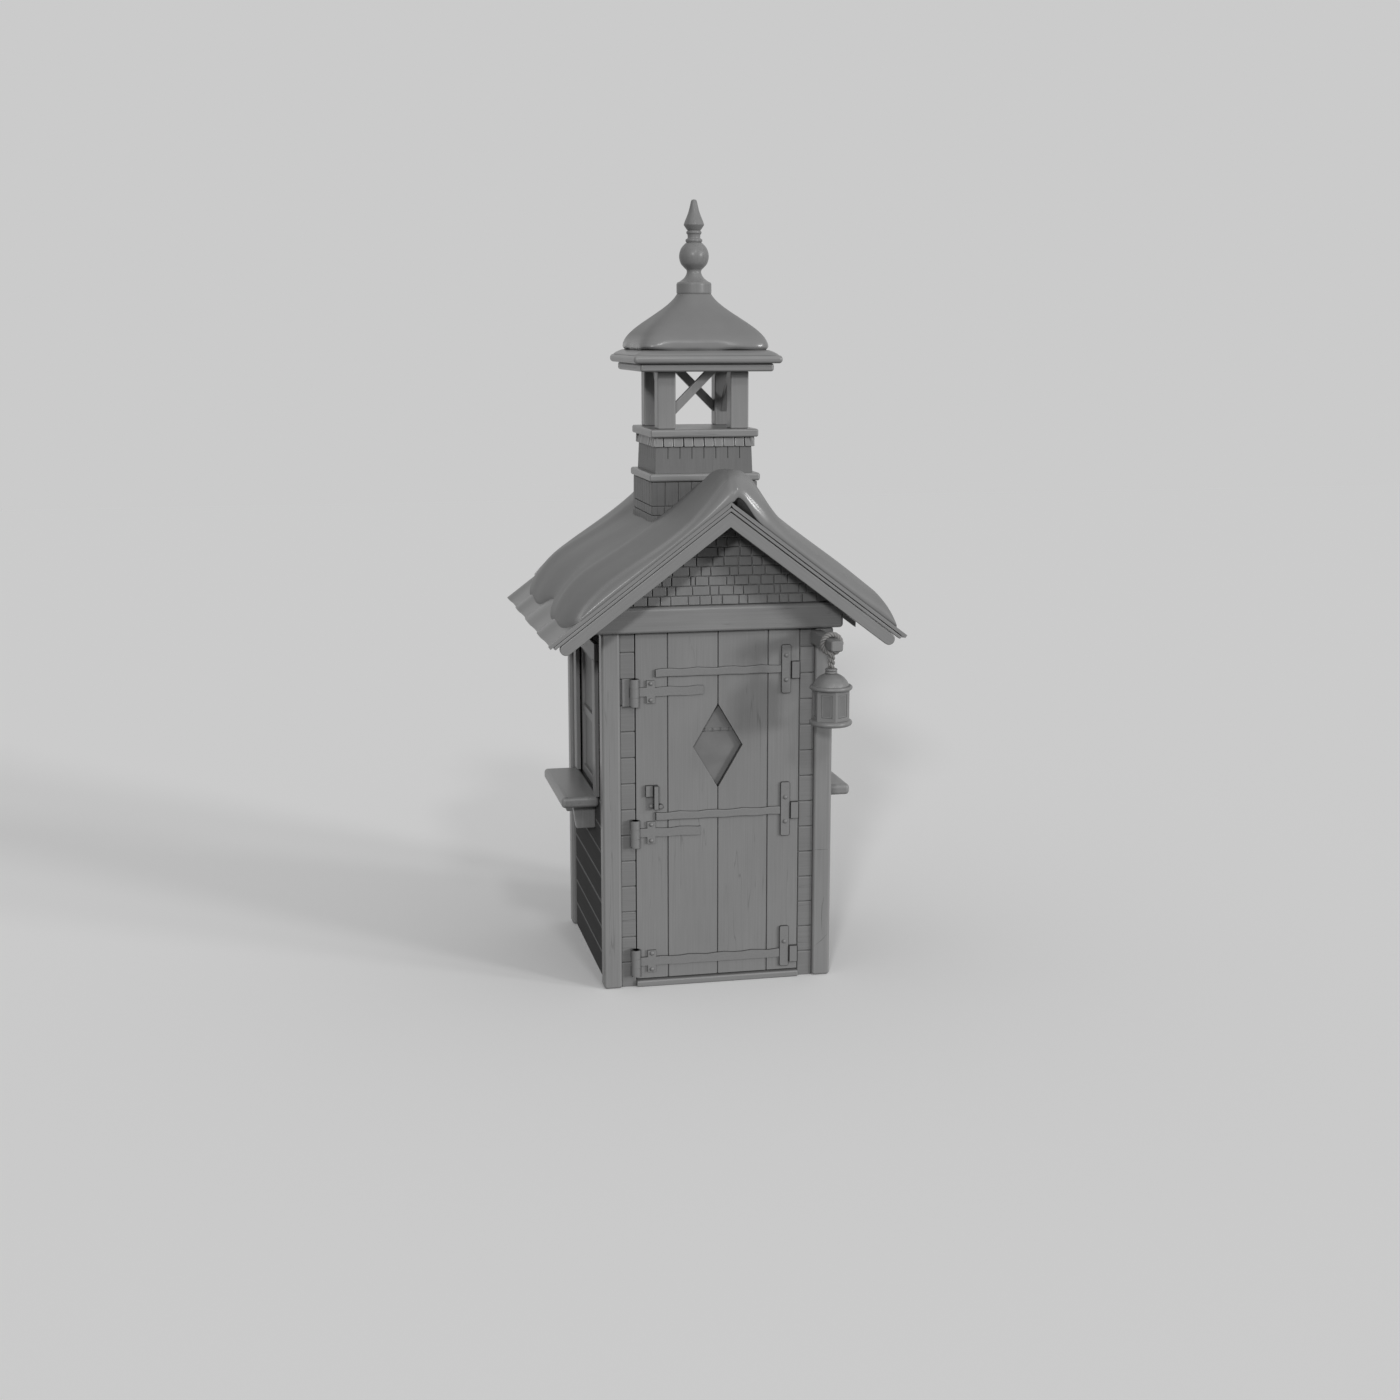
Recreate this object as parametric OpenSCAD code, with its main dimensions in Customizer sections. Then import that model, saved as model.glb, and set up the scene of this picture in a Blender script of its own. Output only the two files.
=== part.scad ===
// A one-person timber booth: boarded walls between corner posts, a ledged door on strap
// hinges, side windows over sale shelves, a snow-laden gable roof and an open bell cupola.
// Millimetres, +Z up, the front faces -Y, the origin is on the ground under the middle.

/* [House] */
// Width of the boarded strips beside the door
strip_w = 80; // [60:1:100]
// Depth over the corner posts
house_d = 1310; // [1200:10:1400]
// Side of a square corner post
post_w = 100; // [90:1:110]
// Height of the corner posts
post_h = 1962; // [1920:1:2000]
// How far the siding lies behind the faces of the posts
wall_set = 23; // [18:1:28]
// Thickness of the boarded walls
wall_t = 54; // [48:1:60]
// Thickness of the floor deck
deck_t = 35; // [28:1:40]
// Height of the headers and wall plates on the posts
header_h = 138; // [120:1:150]
// How far the headers stand out in front of the posts
header_out = 35; // [25:1:45]
// How far the headers reach past the posts at each end
header_over = 45; // [30:1:55]
// Rounding along the edges of heavy timbers
timber_r = 12; // [6:1:16]
// Rounding of the posts' feet, the headers' ends and the shelves
foot_r = 20; // [12:1:26]
// Height of the lowest groove in the siding
groove_z = 139; // [110:1:160]
// Height of a siding board
siding_h = 143; // [120:1:160]
// Width and depth of the grooves between the siding boards
siding_groove = 6; // [3:1:8]

/* [Door] */
// Width of the door leaf
door_w = 900; // [880:1:904]
// Thickness of the door leaf
door_t = 45; // [38:1:46]
// Gap beside the door leaf
door_gap = 5; // [5:1:8]
// Gap over the door leaf
door_top_gap = 7; // [6:1:10]
// Gap under the door leaf
door_foot_gap = 8; // [6:1:12]
// Width of the grooves between the door boards
groove_w = 7; // [4:1:10]
// Depth of the grooves between the door boards
groove_d = 6; // [3:1:9]
// Width of the diamond window
diamond_w = 274; // [240:1:300]
// Height of the diamond window
diamond_h = 466; // [420:1:500]
// Thickness of the panes
pane_t = 6; // [4:1:8]
// How far the diamond pane lies behind the face of the door
diamond_set = 30; // [22:1:34]

/* [Door irons] */
// Radius of a hinge barrel
barrel_r = 25; // [22:0.5:26]
// Height of a hinge barrel
barrel_h = 150; // [130:1:170]
// Radius of a hinge pin
pin_r = 10; // [8:0.5:12]
// Clearance between the pin and its bore
pin_play = 0.3; // [0.2:0.1:0.6]
// Gap between the knuckles of a hinge
knuckle_gap = 2; // [1.5:0.5:4]
// Distance from the siding out to the hinge pin
hinge_out = 28; // [28:0.5:32]
// Height of a hinge strap
strap_h = 48; // [40:1:54]
// Thickness of the iron straps, leaves and plates
iron_t = 10; // [8:1:12]
// Width of a cross plate on a strap
cross_w = 46; // [36:1:54]
// Height of a cross plate on a strap
cross_h = 123; // [100:1:130]
// Height of a door bar
bar_h = 44; // [36:1:50]
// Thickness of a door bar
bar_t = 18; // [14:1:22]
// Width of a lock plate
plate_w = 54; // [46:1:56]
// Width of a keeper block
keeper_w = 46; // [40:1:48]
// Height of a keeper block
keeper_h = 95; // [80:1:105]
// Thickness of a keeper block
keeper_t = 24; // [18:1:26]

/* [Windows and shelves] */
// Width of the window casings on the side walls
casing_w = 790; // [740:1:800]
// Distance from the top of the posts down to the window casings
casing_drop = 92; // [80:1:110]
// Width of a casing board
casing_board = 95; // [80:1:105]
// Width of a sash stile or rail
sash_w = 46; // [38:1:52]
// Thickness of the sashes
sash_t = 36; // [30:1:40]
// Height of the shelf tops above the ground
shelf_z = 1018; // [980:1:1050]
// Thickness of a shelf
shelf_t = 61; // [45:1:66]
// How far a shelf stands out from the siding
shelf_out = 207; // [180:1:230]
// Length of a shelf
shelf_l = 760; // [700:1:800]
// Distance between the two brackets of a shelf
bracket_gap = 400; // [320:1:460]
// Height of a shelf bracket
bracket_h = 154; // [130:1:180]
// Thickness of a shelf bracket
bracket_t = 60; // [45:1:70]
// How far a shelf bracket stands out at its top
bracket_out = 128; // [110:1:150]

/* [Roof] */
// Slope of the roof in degrees
roof_pitch = 37; // [35:0.5:39]
// Side overhang of the roof past the posts
eave_over = 320; // [290:1:340]
// Front and back overhang of the roof past the posts
verge_over = 295; // [280:1:320]
// Thickness of the roof sheets at their crests
sheet_t = 25; // [20:1:28]
// Depth of the waves in the roof sheets
wave_h = 12; // [6:1:14]
// Number of waves along a roof sheet
wave_count = 4; // [3:1:6]
// Height from the headers up to the roof sheets over the posts' outer faces
heel_h = 61; // [55:1:70]
// Depth of the rafters, upright
rafter_h = 90; // [80:1:100]
// Thickness of a rafter
rafter_t = 50; // [40:1:60]
// Depth of the barge boards, square to the slope
barge_h = 68; // [55:1:80]
// Thickness of the barge boards
barge_t = 35; // [28:1:40]
// How far the barge boards lie behind the edge of the sheets
barge_set = 14; // [10:1:20]
// Depth of the strip between the sheets and the barge boards
trim_h = 20; // [14:1:26]
// How far that strip lies behind the edge of the sheets
trim_set = 6; // [3:1:8]

/* [Snow] */
// Upright depth of the snow over most of the roof
snow_t = 118; // [100:1:135]
// Extra depth of the drift along the right of the ridge
drift_t = 95; // [60:1:110]
// Extra depth of the lobes on the left slope
lobe_t = 12; // [5:1:30]
// Bare sheet below the lobes on the left
bare_left = 98; // [70:1:120]
// How much wider the bare sheet is below the furrow between the lobes
furrow_notch = 56; // [30:1:70]
// How much wider the bare sheet is at the corners of the lobes
corner_notch = 70; // [40:1:90]
// Bare sheet along the right eave
bare_right = 10; // [5:1:30]
// Rounding of the snow towards the eaves
eave_roll = 190; // [150:1:220]
// Rounding of the snow towards the front and back
verge_roll = 450; // [350:1:500]
// Height of the hollow under the drift at the front
hollow_h = 110; // [70:1:120]

/* [Cupola] */
// Width of the lower tier
lower_w = 586; // [560:1:600]
// Height of the lower tier above the ridge
lower_rise = 58; // [45:1:80]
// Wall thickness of the tiers
tier_t = 40; // [30:1:50]
// Width of the moulding between the tiers
band_w = 614; // [606:1:630]
// Height of the moulding between the tiers
band_h = 43; // [36:1:50]
// Width of the upper tier
upper_w = 530; // [510:1:550]
// Height of the upper tier
upper_h = 142; // [125:1:160]
// Width of the course of shingles on the upper tier
course_w = 560; // [552:1:580]
// Height of the course of shingles
course_h = 52; // [44:1:60]
// Width of the ledge under the open stage
ledge_w = 596; // [582:1:610]
// Height of that ledge
ledge_h = 43; // [36:1:50]
// Side of a belfry post
belfry_post = 100; // [80:1:110]
// Width over the four belfry posts
belfry_w = 504; // [480:1:520]
// Height of the belfry posts
belfry_h = 309; // [280:1:330]
// Width of the braces between the belfry posts
brace_w = 46; // [38:1:54]
// Thickness of those braces
brace_t = 34; // [28:1:40]
// Width of the plate on the belfry posts
plate_top_w = 732; // [700:1:760]
// Height of the plate on the belfry posts
plate_top_h = 43; // [36:1:50]
// Width of the edge moulding of the cupola roof
crown_w = 812; // [800:1:840]
// Height of that edge moulding
crown_h = 42; // [36:1:50]
// Height of the cove over that moulding
cove_h = 27; // [20:1:34]
// How far that cove draws in
cove_in = 44; // [36:1:46]
// Height of the cupola roof above its moulding
dome_h = 328; // [300:1:350]
// Depth of the snow on the cupola roof at its edge
cap_snow_t = 42; // [30:1:50]

/* [Finial] */
// Height of the finial
finial_h = 503; // [470:1:530]
// Radius of the foot of the finial
finial_foot_r = 96; // [88:1:100]
// Radius of the ball of the finial
finial_ball_r = 81; // [70:1:88]

/* [Lantern] */
// Width of the lantern beam
beam_w = 63; // [56:1:66]
// Height of the lantern beam at the post
beam_h = 78; // [70:1:84]
// Height of the lantern beam at its end
beam_end_h = 54; // [48:1:60]
// How far the lantern beam stands out from the post
beam_l = 418; // [400:1:440]
// Distance of the beam's middle from the outer face of the post
beam_in = 98; // [90:1:99]
// Drop from the top of the posts to the top of the beam
beam_drop = 11; // [6:1:16]
// Distance from the post out to the lantern
lantern_out = 305; // [296:1:315]
// Rounding along the edges of the lantern beam
beam_r = 10; // [6:1:12]
// Thickness of the rope
rope_d = 24; // [18:1:26]
// Thickness of the twisted drop below the loop
drop_d = 34; // [28:1:38]
// Clearance between the rope loop and the beam's corners
rope_play = 0.5; // [0.3:0.1:1]
// Length of the rope between its loop and the lantern
rope_drop = 67; // [55:1:80]
// Height of the lantern
lantern_h = 303; // [285:1:320]
// Radius of the lantern's rims
lantern_rim_r = 114; // [106:1:115]
// Radius of the lantern's cage over its corners
lantern_cage_r = 101; // [94:1:103]
// Width of the bars of the lantern's cage
lantern_bar = 18; // [12:1:24]

/* [Hidden] */
$fn = 48;

// Cuts run past the faces that they open by this much
overrun = 20;
// Pieces that seat against each other without touching lie this far apart
seat = 0.3;
// Neighbouring solids of one node lie this far apart
hairline = 0.5;

timber = "#808080";
iron = "#767676";
snow = "#8c8c8c";
glass = "#707070";
rope = "#868686";

// House frame: faces seen from the middle, the same on both sides
half_w = door_w / 2 + door_gap + strip_w + post_w;
half_d = house_d / 2;
post_in_x = half_w - post_w;
post_in_y = half_d - post_w;
side_face = half_w - wall_set;
side_back = side_face - wall_t;
front_face = half_d - wall_set;
front_back = front_face - wall_t;
header_top = post_h + header_h;
header_end = half_w + header_over;

// Door opening and leaf
open_half = door_w / 2 + door_gap;
door_half = door_w / 2;
door_foot = deck_t + door_foot_gap;
door_top = post_h - door_top_gap;
door_h = door_top - door_foot;
board_share = 0.307;
diamond_z_share = 0.673;
hinge_in = 11;
hinge_x = -door_half - hinge_in;
hinge_y = -front_face - hinge_out;
hinge_z_shares = [0.052, 0.4315, 0.8363];
knuckle_h = (barrel_h - 2 * knuckle_gap) / 3;
strap_reach_shares = [0.392, 0.411];
cross_x_share = 0.089;
cross_x = cross_x_share * door_w - door_half;
bar_gap = 1;
bar_r = 6;
leaf_w = 64;
leaf_w_shares = [0, 0, 1];
plate_r = 12;
bar_z_shares = [0.4775, 0.889];
lock_x_share = 0.9165;
lock_x = lock_x_share * door_w - door_half;
lock_z_shares = [0.0717, 0.481, 0.8876];
lock_h_shares = [0.122, 0.159, 0.14];
keeper_z_shares = [0.0476, 0.477, 0.885];
handle_x_share = 0.1;
handle_z_share = 0.534;
handle_w = 27;
handle_h = 133;
handle_grip_out = 42;
latch_w = 42;
latch_h = 64;
knob_r = 14;

// Window opening in a side wall, between the casing boards and above the shelf
casing_top = post_h - casing_drop;
window_half = casing_w / 2 - casing_board;
window_top = casing_top - casing_board;
meet_z = (shelf_z + window_top) / 2;

// Roof planes: heights over the middle and lengths down the slope
slope = tan(roof_pitch);
roof_half_w = half_w + eave_over;
roof_half_d = half_d + verge_over;
ridge_under = header_top + heel_h + half_w * slope;
ridge_z = ridge_under + (sheet_t + seat) / cos(roof_pitch);
slope_l = roof_half_w / cos(roof_pitch);
trim_short = 17;
barge_short = 31;
rafter_count = 3;
rafter_reach_share = 0.9;
wave_point_count = 8;

// Snow: places of the drift, lobes and groove as shares of the roof
drift_at_share = 0.12;
drift_w_share = 0.14;
lobe_at_share = 0.586;
lobe_w_share = 0.272;
furrow_at_share = -0.02;
furrow_w_share = 0.17;
furrow_depth_share = 0.42;
corner_w_share = 0.19;
furrow_y = furrow_at_share * roof_half_d;
furrow_w = furrow_w_share * roof_half_d;
corner_w = corner_w_share * roof_half_d;
thin_share = 0.4;
thin_reach = 300;
lull_share = 0.4;
lull_reach = 200;
bank_t = 16;
hollow_at_share = 0.073;
hollow_w_share = 0.085;
hollow_steep_share = 0.047;
hollow_d_share = 0.07;
hollow_x = hollow_at_share * roof_half_w;
drift_x = drift_at_share * roof_half_w;
drift_w = drift_w_share * roof_half_w;
snow_lip = 8;
snow_row_count = 18;
snow_file_count = 20;

// Cupola: levels from the ridge upwards
band_z = ridge_z + lower_rise;
upper_z = band_z + band_h;
course_z = upper_z + upper_h;
ledge_z = course_z + course_h;
belfry_z = ledge_z + ledge_h;
plate_z = belfry_z + belfry_h;
crown_z = plate_z + plate_top_h;
dome_z = crown_z + crown_h;
finial_z = dome_z + dome_h;
moulding_r = 14;
plank_count = 8;
shingle_count = 10;
slit_count = 7;
slit_l = 64;
plank_groove = 4;
belfry_at = (belfry_w - belfry_post) / 2;
belfry_gap = belfry_w - 2 * belfry_post;
brace_foot_share = 0.24;
brace_angle = 45;
dome_point_count = 32;
dome_level_count = 10;
cove_point_count = 6;
cove_bend_share = 1.5;
shoulder_share = 0.14;
ogee_end_share = 1.12;
ogee_tip_share = 0.85;
crown_in = 54;
cap_inset = 14;

// Finial: radii as shares of the foot's and heights as shares of the whole
ball_z_share = 0.394;
finial_shares = [
    [1, 0], [1, 0.11], [0.9, 0.115], [0.62, 0.14], [0.44, 0.18], [0.4, 0.22], [0.33, 0.394],
    [0.33, 0.565], [0.47, 0.57], [0.47, 0.585], [0.33, 0.592], [0.33, 0.64], [0.42, 0.65],
    [0.42, 0.675], [0.54, 0.705], [0.59, 0.74], [0.55, 0.78], [0.24, 0.93], [0.17, 0.975], [0.08, 1]
];

// Lantern: the beam's axis and the levels below it
beam_x = half_w - beam_in;
beam_top = post_h - beam_drop;
lantern_y = -half_d - lantern_out;
beam_here_h = beam_h - (beam_h - beam_end_h) * lantern_out / beam_l;
swing_z = beam_top - beam_here_h / 2;
beam_taper = (beam_h - beam_end_h) / beam_l;
beam_arc_count = 4;
loop_h = beam_here_h + beam_taper * rope_d;
loop_in_r = norm([beam_w / 2 - beam_r, loop_h / 2 - beam_r]) + beam_r + rope_play;
rope_flat = 2;
loop_r = loop_in_r + rope_d / 2 - rope_flat;
stem_z = swing_z - loop_r;
lantern_top = stem_z - rope_d / 2 - rope_drop;
lantern_foot = lantern_top - lantern_h;
collar_r_share = 0.27;
collar_h_share = 0.092;
collar_rib_count = 2;
rib_share = 0.4;
bead_point_count = 8;
cap_rim_share = 0.08;
cap_h_share = 0.37;
cap_shares = [[0.46, 0.8], [0.6, 0.45], [0.69, 0.15], [0.74, 0]];
cage_h_share = 0.53;
cage_z = lantern_foot + lantern_h * (1 - cap_h_share - cage_h_share);
cap_z = cage_z + lantern_h * cage_h_share;
lantern_shell = 8;

// A box from one corner to the other
module slab(lo, hi) {
    translate(lo) cube(hi - lo);
}

// A rectangle with rounded corners, from the origin
module rounded_rect(size, r) {
    translate([r, 0]) square([size.x - 2 * r, size.y]);
    translate([0, r]) square([size.x, size.y - 2 * r]);
    for (x = [r, size.x - r], y = [r, size.y - r]) translate([x, y]) circle(r = r);
}

// A timber from one corner to the other, with its long edges rounded along one axis
module rounded_timber(lo, hi, r, along) {
    size = hi - lo;
    translate(lo)
        if (along == "x") rotate([90, 0, 90]) linear_extrude(size.x) rounded_rect([size.y, size.z], r);
        else if (along == "y")
            translate([0, size.y, 0]) rotate([90, 0, 0])
                linear_extrude(size.y) rounded_rect([size.x, size.z], r);
        else linear_extrude(size.z) rounded_rect([size.x, size.y], r);
}

// A square board lying flat with a rounded nose all round
module nosed_board(width, z, height, r) {
    half = width / 2;
    intersection() {
        rounded_timber([-half, -half, z], [half, half, z + height], r, "x");
        rounded_timber([-half, -half, z], [half, half, z + height], r, "y");
    }
}

// Something on the left is the mirror of its like on the right
module each_side() {
    children();
    mirror([1, 0, 0]) children();
}

module floor_deck() {
    color(timber) difference() {
        slab([-side_back, -front_back, 0], [side_back, front_back, deck_t]);
        for (x = [-1, 1], y = [-1, 1])
            translate([x * half_w, y * half_d, 0])
                slab([-post_w, -post_w, -overrun], [post_w, post_w, deck_t + overrun]);
    }
}

module door_sill() {
    color(timber)
        rounded_timber([-open_half, -half_d, 0], [open_half, -front_back, deck_t], timber_r, "x");
}

// Posts with rounded edges and feet
module corner_posts() {
    color(timber) for (x = [-half_w, post_in_x], y = [-half_d, post_in_y]) {
        lo = [x, y, 0];
        hi = [x + post_w, y + post_w, post_h];
        over = [0, 0, post_w];
        intersection() {
            rounded_timber(lo, hi, timber_r, "z");
            rounded_timber(lo, hi + over, foot_r, "x");
            rounded_timber(lo, hi + over, foot_r, "y");
        }
    }
}

// Level grooves between the siding boards, all round the house
module siding_grooves() {
    x = side_face - siding_groove;
    y = front_face - siding_groove;
    for (z = [groove_z : siding_h : post_h]) translate([0, 0, z]) difference() {
        slab([-half_w, -half_d, -siding_groove / 2], [half_w, half_d, siding_groove / 2]);
        slab([-x, -y, -siding_groove], [x, y, siding_groove]);
    }
}

module front_wall_left() {
    color(timber) difference() {
        slab([-post_in_x, -front_face, 0], [-open_half, -front_back, post_h]);
        siding_grooves();
    }
}

module front_wall_right() {
    color(timber) difference() {
        slab([open_half, -front_face, 0], [post_in_x, -front_back, post_h]);
        siding_grooves();
    }
}

module right_wall() {
    color(timber) difference() {
        slab([side_back, -post_in_y, 0], [side_face, post_in_y, post_h]);
        slab([side_back - overrun, -window_half, shelf_z], [side_face + overrun, window_half, window_top]);
        siding_grooves();
    }
}

module left_wall() {
    mirror([1, 0, 0]) right_wall();
}

module back_wall() {
    color(timber) difference() {
        slab([-post_in_x, front_back, 0], [post_in_x, front_face, post_h]);
        siding_grooves();
    }
}

module front_header() {
    lo = [-header_end, -half_d - header_out, post_h];
    hi = [header_end, -post_in_y, header_top];
    color(timber) intersection() {
        rounded_timber(lo, hi, timber_r, "x");
        rounded_timber(lo, hi, foot_r, "y");
    }
}

module back_header() {
    mirror([0, 1, 0]) front_header();
}

module wall_plates() {
    color(timber) each_side()
        slab([post_in_x, -post_in_y, post_h], [half_w, post_in_y, header_top]);
}

// Wall over a header, up to the underside of the sheets
module front_gable() {
    end_z = ridge_under - header_end * slope;
    color(timber) translate([0, -front_back, 0]) rotate([90, 0, 0]) linear_extrude(wall_t)
        polygon([[-header_end, header_top], [header_end, header_top], [header_end, end_z],
            [0, ridge_under], [-header_end, end_z]]);
}

module back_gable() {
    mirror([0, 1, 0]) front_gable();
}

// Rafters notched over the wall plates
module rafters() {
    reach = roof_half_w * rafter_reach_share;
    color(timber) each_side() for (i = [0 : rafter_count - 1]) {
        y = (i + 1) * 2 * front_back / (rafter_count + 1) - front_back;
        difference() {
            translate([0, y + rafter_t / 2, 0]) rotate([90, 0, 0]) linear_extrude(rafter_t)
                polygon([
                    [hairline / 2, ridge_under - hairline / 2 * slope],
                    [reach, ridge_under - reach * slope],
                    [reach, ridge_under - reach * slope - rafter_h],
                    [hairline / 2, ridge_under - hairline / 2 * slope - rafter_h]
                ]);
            slab([post_in_x - overrun, -post_in_y, post_h - overrun], [half_w, post_in_y, header_top]);
        }
    }
}

// Right half of the roof: the origin on the ridge, X down the slope, Z square to it
module on_right_slope() {
    intersection() {
        translate([0, 0, ridge_z]) rotate([0, roof_pitch, 0]) children();
        slab([0, -2 * roof_half_d, 0], [2 * roof_half_w, 2 * roof_half_d, 2 * ridge_z]);
    }
}

// Sheet with soft waves along the roof, flat below
module right_roof_sheet() {
    steps = wave_count * wave_point_count;
    color(timber) on_right_slope() translate([-sheet_t, 0, 0]) rotate([90, 0, 90])
        linear_extrude(slope_l + sheet_t) polygon(concat(
            [[-roof_half_d, -sheet_t], [roof_half_d, -sheet_t]],
            [for (i = [steps : -1 : 0])
                [roof_half_d * (2 * i / steps - 1),
                    (cos(360 * i / wave_point_count) - 1) * wave_h / 2]]));
}

module left_roof_sheet() {
    mirror([1, 0, 0]) right_roof_sheet();
}

// Barge board with its strip: a long board with a round end under the sheet's edge
module right_barge_board() {
    front = -roof_half_d;
    back = front + barge_set + barge_t;
    on_right_slope() {
        slab([-slope_l, front + trim_set, -sheet_t - trim_h],
            [slope_l - trim_short, back, -sheet_t]);
        translate([0, back, -sheet_t - trim_h - barge_h]) rotate([90, 0, 0])
            linear_extrude(barge_t) {
                translate([-slope_l, 0]) square([2 * slope_l - barge_short - barge_h / 2, barge_h]);
                translate([slope_l - barge_short - barge_h / 2, barge_h / 2]) circle(d = barge_h);
            }
    }
}

module front_barge_boards() {
    color(timber) each_side() intersection() {
        right_barge_board();
        slab([hairline / 2, -roof_half_d, 0], [2 * roof_half_w, roof_half_d, 2 * ridge_z]);
    }
}

module back_barge_boards() {
    mirror([0, 1, 0]) front_barge_boards();
}

// Bell curve of a distance, with its half-width
function bell(d, w) = exp(-(d / w) * (d / w));

// Flatter bell curve with steeper sides
function steep_bell(d, w) = exp(-pow(d / w, 4));

// Rounding of the snow towards an edge, from the full depth to nothing
function roll(d, width) = d >= width ? 1 : d <= 0 ? 0 : sqrt(1 - pow(1 - d / width, 2));

// Share of the snow that is missing in front of the cupola and behind it
function lull(x, y) = lull_share * bell(max(0, abs(y) - lower_w / 2), lull_reach) * bell(x, lower_w / 2);

// Share of the left snow that is missing beside the cupola, at a distance from the ridge
function saddle(x) = thin_share * bell(x - lower_w / 2, thin_reach) * (1 - bell(x, drift_w));

// Lower edge of the snow at a place along the roof
function snow_end(y, left) = roof_half_w - (left
    ? bare_left + furrow_notch * bell(y - furrow_y, furrow_w)
        + corner_notch * bell(roof_half_d - abs(y), corner_w)
    : bare_right);

// Upright depth of the snow at a place on the plan. The drift reaches over the ridge to the left
function snow_depth(x, y, left) = (1 - lull(x, y)) * (left
    ? drift_t * bell(x + drift_x, drift_w)
        + (snow_t + lobe_t * bell(x - lobe_at_share * roof_half_w, lobe_w_share * roof_half_w))
        * (1 - furrow_depth_share * bell(y - furrow_y, furrow_w) * (1 - bell(x, lower_w))) * (1 - saddle(x))
    : snow_t + bank_t * (1 - bell(x, drift_w)) + drift_t * bell(x - drift_x, drift_w));

// Underside of the snow above the sheet: seated, with a hollow under the drift in front
function snow_seat(x, y, left) = seat / cos(roof_pitch) + (left ? 0
    : hollow_h * bell(y + roof_half_d, hollow_d_share * roof_half_d) * (x < hollow_x
        ? steep_bell(x - hollow_x, hollow_steep_share * roof_half_w)
        : bell(x - hollow_x, hollow_w_share * roof_half_w)));

// Snow on one slope: a grid over the slope, closed by its underside and edges
module slope_snow(left) {
    half = roof_half_d - seat;
    rows = snow_row_count;
    files = snow_file_count;
    ys = [for (j = [0 : files]) -half * cos(180 * j / files)];
    xs = [for (j = [0 : files]) [for (i = [0 : rows])
        hairline / 2 + (snow_end(ys[j], left) - hairline / 2) * (1 - cos(180 * i / rows)) / 2]];
    bottom = [for (j = [0 : files], i = [0 : rows])
        [xs[j][i], ys[j], ridge_z - xs[j][i] * slope + snow_seat(xs[j][i], ys[j], left)]];
    top = [for (j = [0 : files], i = [0 : rows]) let (x = xs[j][i], y = ys[j])
        [x, y, ridge_z - x * slope + snow_seat(x, y, left) + snow_lip
            + (snow_depth(x, y, left) - snow_seat(x, y, left))
                * roll(snow_end(y, left) - x, eave_roll) * roll(half - abs(y), verge_roll)]];
    count = (rows + 1) * (files + 1);
    across = rows + 1;
    cells = [for (j = [0 : files - 1], i = [0 : rows - 1]) j * across + i];
    edge = concat(
        [for (i = [0 : rows]) i],
        [for (j = [1 : files]) j * across + rows],
        [for (i = [rows - 1 : -1 : 0]) files * across + i],
        [for (j = [files - 1 : -1 : 1]) j * across]);
    polyhedron(concat(top, bottom), concat(
        [for (c = cells) [c, c + across, c + 1]],
        [for (c = cells) [c + 1, c + across, c + across + 1]],
        [for (c = cells) [count + c, count + c + 1, count + c + across]],
        [for (c = cells) [count + c + 1, count + c + across + 1, count + c + across]],
        [for (k = [0 : len(edge) - 1]) let (a = edge[k], b = edge[(k + 1) % len(edge)])
            [a, b, count + b]],
        [for (k = [0 : len(edge) - 1]) let (a = edge[k], b = edge[(k + 1) % len(edge)])
            [a, count + b, count + a]]));
}

// The cupola's foot and its tiers stand clear of the snow by the seat
module cupola_in_snow() {
    foot = lower_w / 2 + seat;
    lip = band_w / 2 + seat;
    slab([-foot, -foot, 0], [foot, foot, band_z + overrun]);
    slab([-lip, -lip, band_z - seat], [lip, lip, ledge_z]);
}

module right_roof_snow() {
    color(snow) difference() {
        slope_snow(false);
        cupola_in_snow();
    }
}

module left_roof_snow() {
    color(snow) difference() {
        mirror([1, 0, 0]) slope_snow(true);
        cupola_in_snow();
    }
}

// Window in the right wall: casing boards on the siding and two sashes in the opening
module right_window_frame() {
    case_half = casing_w / 2;
    sash_x = (side_face + side_back - sash_t) / 2;
    color(timber) {
        for (y = [-case_half, window_half])
            slab([side_face, y, shelf_z], [half_w, y + casing_board, window_top - hairline]);
        slab([side_face, -case_half, window_top], [half_w, case_half, casing_top]);
        for (y = [-window_half, window_half - sash_w])
            slab([sash_x, y, shelf_z], [sash_x + sash_t, y + sash_w, window_top]);
        for (z = [shelf_z, meet_z - sash_w / 2, window_top - sash_w])
            slab([sash_x, -window_half + sash_w + hairline, z],
                [sash_x + sash_t, window_half - sash_w - hairline, z + sash_w]);
    }
}

module left_window_frame() {
    mirror([1, 0, 0]) right_window_frame();
}

// Panes set into the sashes, one above and one below the meeting rail
module side_window_panes() {
    pane_x = (side_face + side_back - pane_t) / 2;
    pane_half = window_half - sash_w - seat;
    color(glass) each_side() {
        slab([pane_x, -pane_half, shelf_z + sash_w + seat],
            [pane_x + pane_t, pane_half, meet_z - sash_w / 2 - seat]);
        slab([pane_x, -pane_half, meet_z + sash_w / 2 + seat],
            [pane_x + pane_t, pane_half, window_top - sash_w - seat]);
    }
}

module right_shelf() {
    color(timber) intersection() {
        rounded_timber([side_face, -shelf_l / 2, shelf_z - shelf_t],
            [side_face + shelf_out, shelf_l / 2, shelf_z], foot_r, "y");
        rounded_timber([side_face - shelf_out, -shelf_l / 2, shelf_z - shelf_t],
            [side_face + shelf_out, shelf_l / 2, shelf_z], foot_r, "z");
    }
}

module left_shelf() {
    mirror([1, 0, 0]) right_shelf();
}

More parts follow.
